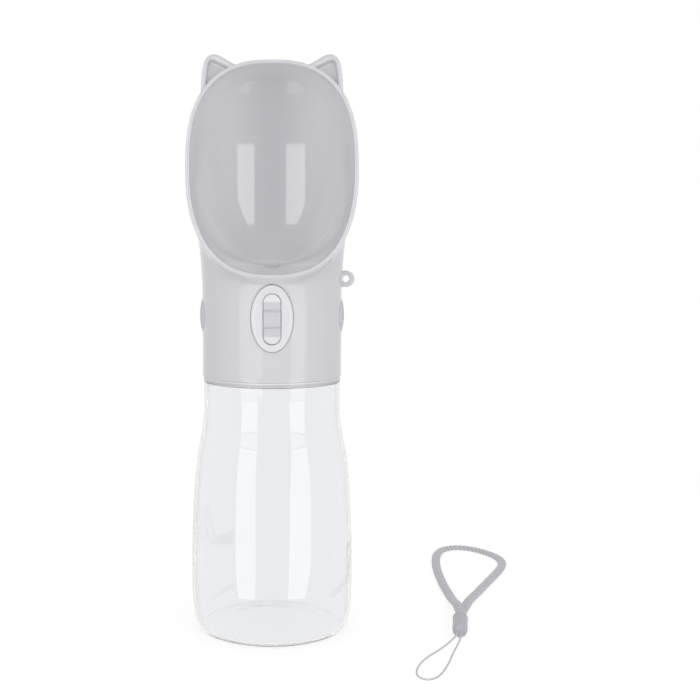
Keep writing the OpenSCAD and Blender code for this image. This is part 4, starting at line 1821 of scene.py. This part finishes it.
    def drain_socket(self, material: bpy.types.Material) -> bpy.types.Object:
        """The socket under the scoop floor that takes the valve's outlet.

        Args:
            material: the shell's finish.

        Returns:
            The socket.
        """
        boss_r, socket_r, deep = self.drain_boss
        top = self.drain_shoulder
        profile = rounded([(self.drain_r, top + 1.2, 0), (self.drain_r, top, 0.1),
                           (socket_r, top, 0.2), (socket_r, top - deep, 0.2),
                           (boss_r, top - deep, 0.3), (boss_r, top + 1.2, 0),
                           (self.drain_r, top + 1.2, 0)], 4)
        rings = turned(profile[:-1], self.disc_around) + (0.0, self.drain_y, 0.0)
        return Skin(rings, loop=True).build("drain_socket", material, 40.0)


@dataclass
class Ear:
    """A rounded three-cornered ear with a raised edge round a hollow.

    Its stations run from the foot of its outer side over the tip to the inner foot;
    the rest of the outline follows the rim. Each hollow station is the one that the
    outline's station of the same number blends into. A section is a share of the way
    from the outline (0) to the hollow's (1), with its lift off the rim plane; below 0
    it shrinks from the outline towards the core, above 1 from the hollow's.
    """

    outline: Array = field(default_factory=lambda: np.array([
        (31.7, 85.0), (31.7, 89.9), (31.6, 94.4), (31.3, 99.2), (30.7, 102.8),
        (29.5, 105.6), (27.6, 107.2), (25.1, 107.4), (22.9, 106.4), (20.6, 104.9),
        (18.4, 103.4), (16.0, 102.0)], float))
    hollow: Array = field(default_factory=lambda: np.array([
        (29.0, 91.4), (29.15, 93.0), (29.1, 95.4), (28.9, 98.4), (28.6, 101.6),
        (28.2, 103.3), (27.4, 104.1), (26.2, 103.9), (24.4, 103.0), (22.6, 102.0),
        (20.9, 101.0), (20.0, 100.4)], float))
    sections: Array = field(default_factory=lambda: np.array([
        (-0.5, -5.2), (-0.12, -5.1), (-0.03, -4.8), (0.0, -4.3), (0.0, -2.2),
        (0.03, -1.7), (0.12, -1.3), (0.28, -1.05), (0.46, -1.0), (0.64, -1.1),
        (0.8, -1.4), (0.93, -2.0), (1.0, -2.8), (1.05, -3.2), (1.2, -3.4),
        (1.6, -3.45)], float))
    core: tuple = (27.0, 98.5)
    foot_inset: float = 1.2
    hollow_inset: float = 0.1
    foot_steps: int = 14
    # Painted shade in the hollow: full at its lowest point, by the rim, and hollow_top_shade
    # of it at hollow_shade_rise mm higher up.
    hollow_top_shade: float = 0.6
    hollow_rows: int = 5
    hollow_shade_rise: float = 8.0
    samples: int = 220

    def closed(self, shell: ScoopShell, stations: Array, inset: float) -> Array:
        """A closed outline: the stations, then back along the rim.

        Args:
            shell: the shell whose rim it follows.
            stations: the points of the free part.
            inset: how far inside the rim's outline the foot runs.

        Returns:
            Points across and up the rim plane.
        """
        grid = np.radians(np.linspace(20, 85, 400))
        x, s = shell.rim_flat(grid, inset)
        first = np.argmin(np.hypot(x - stations[-1, 0], s - stations[-1, 1]))
        last = np.argmin(np.hypot(x - stations[0, 0], s - stations[0, 1]))
        pick = np.linspace(first, last, self.foot_steps + 2).round().astype(int)[1:-1]
        points = np.vstack([stations, np.stack([x[pick], s[pick]], -1)])
        points = np.column_stack([points, np.zeros(len(points))])
        share = np.linspace(0, 1, len(points) + 1)[:len(stations)][-1]
        upper = spline(points[:len(stations)], int(self.samples * share))
        lower = spline(np.vstack([points[len(stations) - 1:], points[:1]]),
                       self.samples - len(upper) + 2)
        return np.vstack([upper, lower[1:-1]])[:, :2]

    def build(self, shell: ScoopShell, side: int, name: str,
              material: bpy.types.Material) -> bpy.types.Object:
        """Blend the outline into the hollow's, section by section.

        Args:
            shell: the shell whose rim plane it stands on.
            side: 1 for +X, -1 for -X.
            name: name of the piece.
            material: its finish.

        Returns:
            The ear.
        """
        outer = self.closed(shell, self.outline, self.foot_inset)
        hollow = self.closed(shell, self.hollow, self.hollow_inset)
        core = np.array(self.core)
        rings = []
        for share, lift in self.sections:
            if share < 0:
                flat = core + (outer - core) * (1 + share)
            elif share <= 1:
                flat = outer + (hollow - outer) * share
            else:
                flat = core + (hollow - core) * (2 - share)
            rings.append(shell.on_rim(side * flat[:, 0], flat[:, 1], lift))
        rings = np.stack(rings)
        # Painted shade in the hollow, darkest low down by the rim.
        painted_light_and_shade = np.zeros(rings.shape[:2])
        up = rings[-self.hollow_rows:, :, 2]
        rise = np.clip((up - up.min()) / self.hollow_shade_rise, 0, 1)
        painted_light_and_shade[-self.hollow_rows:] = 1.0 - (1.0 - self.hollow_top_shade) * rise
        skin = Skin(rings, rings[0].mean(0), rings[-1].mean(0), crown=painted_light_and_shade)
        return skin.build(name, material, 45.0)


@dataclass
class Eyelet:
    """The little ring on the skirt's right side for the lanyard."""

    centre_x: float = 33.2
    height: float = 159.1
    hole_r: float = 1.5
    wall: float = 2.2
    thickness: float = 3.0
    root_x: float = 30.4
    squareness: float = 0.45
    section_steps: int = 24
    around: int = 120

    def build(self, material: bpy.types.Material) -> bpy.types.Object:
        """A ring whose outline runs on into the wall.

        Inside it is a circle; outside, a circle on the free side and straight
        lines back to the wall. The section between the two is a rounded bar.

        Args:
            material: the shell's finish.

        Returns:
            The ring.
        """
        angle = angles(self.around)
        c, s = np.cos(angle), np.sin(angle)
        outer_r = self.hole_r + self.wall
        hole = np.stack([self.hole_r * c, self.hole_r * s], -1)
        free = np.stack([outer_r * c, outer_r * s], -1)
        reach = self.centre_x - self.root_x
        scale = np.minimum(reach / np.maximum(-c, 1e-6), outer_r / np.maximum(np.abs(s), 1e-6))
        square = np.stack([c * scale, s * scale], -1)
        outer = np.where((c < 0)[:, None], square, free)
        turn = np.linspace(0, TURN, self.section_steps + 1)[:-1]
        across = 0.5 + 0.5 * squared_up(np.cos(turn), self.squareness)
        deep = self.thickness / 2 * squared_up(np.sin(turn), self.squareness)
        flat = hole[None] + (outer - hole)[None] * across[:, None, None]
        y = np.broadcast_to(deep[:, None], flat.shape[:2])
        rings = np.stack([flat[..., 0] + self.centre_x, y, flat[..., 1] + self.height], -1)
        return Skin(rings, loop=True).build("lanyard_eyelet", material, 50.0)


def carve(piece: bpy.types.Object, cutters: list[bpy.types.Object], sharp: float) -> None:
    """Cut solids out of a piece and drop them.

    Args:
        piece: the piece to cut.
        cutters: closed meshes, removed afterwards.
        sharp: edges that bend by more degrees than this stay crisp.
    """
    store = bpy.data.collections.new("cutters")
    for cutter in cutters:
        store.objects.link(cutter)
    modifier = piece.modifiers.new("cut", "BOOLEAN")
    modifier.operation = "DIFFERENCE"
    modifier.operand_type = "COLLECTION"
    modifier.collection = store
    modifier.solver = "EXACT"
    bpy.context.view_layer.update()
    source = piece.evaluated_get(bpy.context.evaluated_depsgraph_get())
    mesh = bpy.data.meshes.new_from_object(source)
    piece.modifiers.clear()
    old, piece.data = piece.data, mesh
    mesh.name = piece.name
    bpy.data.meshes.remove(old)
    for cutter in cutters:
        bpy.data.objects.remove(cutter)
    bpy.data.collections.remove(store)
    mesh.shade_smooth()
    mesh.set_sharp_from_angle(angle=math.radians(sharp))


def join(piece: bpy.types.Object, others: list[bpy.types.Object]) -> None:
    """Make other objects part of a piece's mesh.

    Args:
        piece: the piece that stays.
        others: the objects that it takes in.
    """
    with bpy.context.temp_override(active_object=piece, object=piece,
                                   selected_editable_objects=[piece, *others]):
        bpy.ops.object.join()


# ---------------------------------------------------------------- pads, bezel and key


@dataclass
class GripPads:
    """Two soft round pads, slightly domed, in recesses on the skirt's sides."""

    radius: float = 8.8
    floor_x: float = 28.6
    edge_x: float = 30.9
    proud: float = 1.45
    ring_at: float = 0.8
    ring_half: float = 0.03
    ring_deep: float = 0.14
    key_z: float = KEY_Z
    around: int = 120
    rubber: SoftRubber = SoftRubber("pad_rubber", (0.55, 0.542, 0.58), roughness=0.5,
                                    grain_mm=0.012)

    def build(self) -> None:
        """Turn a dome with a rolled edge and a shallow ring near it.

        The dome is proud * (1 - t^2), less ring_deep * exp(-((t - at) / half)^2),
        where t runs from 0 in the middle to 1 at the edge.
        """
        material = self.rubber.build()
        t = np.linspace(0.04, 1, 26)
        dome = self.edge_x + self.proud * (1 - t ** 2)
        dome -= self.ring_deep * np.exp(-((t - self.ring_at) / self.ring_half) ** 2)
        top = np.stack([t * (self.radius - 0.25), dome], -1)
        edge = [(self.radius - 0.08, self.edge_x - 0.12), (self.radius, self.edge_x - 0.4),
                (self.radius, self.floor_x + 0.2), (self.radius - 0.2, self.floor_x)]
        profile = np.vstack([top, edge])
        for side, name in ((1, "right"), (-1, "left")):
            laid = along(turned(profile, self.around), "x" if side > 0 else "-x",
                         (0, 0, self.key_z))
            top_x, floor_x = side * (self.edge_x + self.proud), side * self.floor_x
            skin = Skin(laid, (top_x, 0, self.key_z), (floor_x, 0, self.key_z))
            piece = skin.build("pad_" + name, material, 50.0)
            dress(piece, Body.HEAD, "pad", "grip_pad_" + name)


@dataclass
class Bezel:
    """The oval ring on the skirt round the key's slot, curved with the skirt."""

    width: float = 18.2
    height: float = 28.9
    slot_w: float = 7.85
    slot_h: float = 22.1
    skirt_r: float = SKIRT_R
    rise: float = 0.35
    key_z: float = KEY_Z
    tail_w: float = 16.9
    tail_h: float = 28.0
    tail_r: float = 29.0
    around: int = 240
    sections: tuple = (
        (0.0, -0.55), (0.0, 0.35), (0.03, 0.58), (0.09, 0.78), (0.18, 0.89),
        (0.28, 0.9), (0.38, 0.84), (0.5, 0.7), (0.64, 0.5), (0.78, 0.32), (0.9, 0.2),
        (0.97, 0.12), (1.0, -0.05), (1.0, -0.8))
    plastic: MouldedPlastic = MouldedPlastic("bezel_plastic", (0.71, 0.71, 0.725),
                                             roughness=0.16, coat=0.3, haze=0.04)

    def on_skirt(self, flat: Array, radius: float) -> Array:
        """Wrap a flat outline onto a cylinder: y = -sqrt(radius^2 - x^2).

        Args:
            flat: points across and up from the key's middle.
            radius: the cylinder's radius.

        Returns:
            The points in their place.
        """
        x = flat[..., 0]
        return np.stack([x, -np.sqrt(radius ** 2 - x ** 2), flat[..., 1] + self.key_z], -1)

    def build(self) -> None:
        """From the outer edge over a rounded ring, down a slope into the slot.

        A section is a share of the way from the edge to the slot, with its height
        above the skirt. Behind the skirt the ring closes over its tail.
        """
        edge = oval(self.width, self.height, self.around) + (0.0, self.rise)
        slot = stadium(self.slot_w, self.slot_h, self.around)
        tail = oval(self.tail_w, self.tail_h, self.around)
        r = self.skirt_r
        rings = [self.on_skirt(edge + (slot - edge) * share, r + lift)
                 for share, lift in self.sections]
        rings += [self.on_skirt(slot, self.tail_r), self.on_skirt(tail, self.tail_r),
                  self.on_skirt(tail, r + self.sections[0][1])]
        piece = Skin(np.stack(rings), loop=True).build(
            "key_bezel_ring", self.plastic.build(), 35.0)
        dress(piece, Body.HEAD, "bezel_plastic", "key_bezel")


@dataclass
class WaterKey:
    """The press key: a grooved bar in the bezel's slot, with a flange behind."""

    width: float = 7.45
    height: float = 21.7
    face_y: float = -31.6
    back_y: float = -28.4
    flange_w: float = 10.1
    flange_h: float = 24.1
    flange_t: float = 1.2
    key_z: float = KEY_Z
    groove_z: float = 3.6
    groove_w: float = 0.42
    groove_deep: float = 0.6
    ramp_z: float = 7.1
    ramp_slope: float = 0.445
    edge_r: float = 0.35
    edge_steps: int = 6
    # Height over which the painted highlight on the ends fades in.
    painted_highlight_fade: float = 0.8
    around: int = 400
    # Its second, lighter colour is a painted highlight on the ends, which slope away from the
    # face.
    plastic: PaintedLightPlastic = PaintedLightPlastic("key_plastic", (0.585, 0.575, 0.615),
                                         roughness=0.26, coat=0.2,
                                         painted_shade_and_highlight=(0.78, 0.78, 0.795))

    def face(self, flat: Array) -> Array:
        """Depth of the face: two grooves and two ends that slope away.

        Depth = groove * exp(-((|z| - g) / w)^4) + slope * soft(|z| - ramp), where
        soft(v) = (v + sqrt(v^2 + 0.04)) / 2.

        Args:
            flat: points across and up from the key's middle.

        Returns:
            How far each point lies behind the face.
        """
        z = np.abs(flat[..., 1])
        groove = self.groove_deep * np.exp(-((z - self.groove_z) / self.groove_w) ** 4)
        past = z - self.ramp_z
        ramp = self.ramp_slope * 0.5 * (past + np.sqrt(past * past + 0.04))
        return groove + ramp

    def ring(self, flat: Array, y: Any) -> Array:
        """A flat outline at depth y, one depth for all or one for each point."""
        y = np.broadcast_to(y, flat.shape[:1])
        return np.stack([flat[:, 0], y, flat[:, 1] + self.key_z], -1)

    def outline(self, inset: float) -> Array:
        """The key's outline, moved in by inset."""
        return stadium(self.width - 2 * inset, self.height - 2 * inset, self.around)

    def build(self) -> None:
        """Rings that grow over the face, round its edge, and the flange behind."""
        rings = []
        for share in np.linspace(0.03, 1.0, 46)[:-1] ** 0.9:
            flat = self.outline(self.edge_r) * share
            rings.append(self.ring(flat, self.face_y + self.face(flat)))
        for turn in np.linspace(0, math.pi / 2, self.edge_steps):
            flat = self.outline(self.edge_r * (1 - math.sin(turn)))
            drop = self.edge_r * (1 - math.cos(turn))
            rings.append(self.ring(flat, self.face_y + self.face(flat) + drop))
        flange = stadium(self.flange_w, self.flange_h, self.around)
        rings += [self.ring(self.outline(0.0), self.back_y),
                  self.ring(flange, self.back_y),
                  self.ring(flange, self.back_y + self.flange_t)]
        rings = np.stack(rings)
        # Painted highlight on the sloping ends: past ramp_z the key takes the lighter colour.
        past = np.abs(rings[..., 2] - self.key_z) - self.ramp_z
        painted_light_and_shade = np.clip(past / self.painted_highlight_fade, 0, 1)
        skin = Skin(rings, (0, self.face_y, self.key_z), rings[-1].mean(0), crown=painted_light_and_shade)
        piece = skin.build("water_key_bar", self.plastic.build(), 38.0)
        dress(piece, Body.KEY, "key_plastic", "water_key")


# ---------------------------------------------------------------- valve inside


@dataclass
class ValveSet:
    """The small valve behind the key: spring, stem, seals and body."""

    key_z: float = KEY_Z
    coil_r: float = 3.75
    wire_r: float = 0.45
    start_y: float = -6.3
    pitch: float = 1.92
    turns: int = 5
    fixed_y: float = 3.9
    travel: float = 2.5
    slack: float = 0.05
    turn_steps: int = 48
    wire_sides: int = 14

    def build_spring(self, material: bpy.types.Material) -> None:
        """A round wire along a helix about the valve's axis.

        Args:
            material: its finish.
        """
        angle = np.arange(self.turns * self.turn_steps + 1) * TURN / self.turn_steps
        side = angles(self.wire_sides)
        radial = self.coil_r + self.wire_r * np.cos(side)[None]
        y = (self.start_y + self.pitch * angle[:, None] / TURN
             + self.wire_r * np.sin(side)[None])
        rings = np.stack([radial * np.cos(angle)[:, None], y,
                          self.key_z + radial * np.sin(angle)[:, None]], -1)
        piece = Skin(rings, rings[0].mean(0), rings[-1].mean(0)).build(
            "valve_spring_coil", material, 50.0)
        dress(piece, Body.HEAD, "steel", "valve_spring")
        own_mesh(piece)

    def build(self) -> None:
        """Give the frame's own valve pieces their finishes and make the spring."""
        steel = SpringSteel().build()
        silicone = SoftRubber("silicone", (0.74, 0.74, 0.74), roughness=0.45,
                              grain_mm=0.01, sheen=0.2).build()
        black = SoftRubber("seal_rubber", (0.035, 0.035, 0.04), roughness=0.5,
                           grain_mm=0.012).build()
        natural = MouldedPlastic("inner_plastic", (0.78, 0.78, 0.79), roughness=0.4,
                                 haze=0.1).build()
        finishes = {
            "stem_clip": steel, "cap_gasket": silicone, "valve_seal": silicone,
            "port_seal": silicone, "chimney_seal": silicone, "stem_oring": black,
            "end_cap_oring": black, "valve_stem": natural, "valve_body": natural,
            "valve_end_cap": natural}
        for node, material in finishes.items():
            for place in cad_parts[node].material_slots:
                place.material = material
            LOG.info("%s: finished", node)
        self.build_spring(steel)


def main() -> None:
    """Build everything in order."""
    logging.basicConfig(level=logging.INFO, format="%(name)s: %(message)s")
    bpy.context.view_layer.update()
    view, shell = Viewpoint(), ScoopShell()
    view.build()
    WristStrap().build()
    Studio().build(shell.rings()[0], view)
    ClearBottle().build()
    ScrewCap().build()
    shell.build()
    GripPads().build()
    Bezel().build()
    WaterKey().build()
    ValveSet().build()


if __name__ == "__main__":
    main()
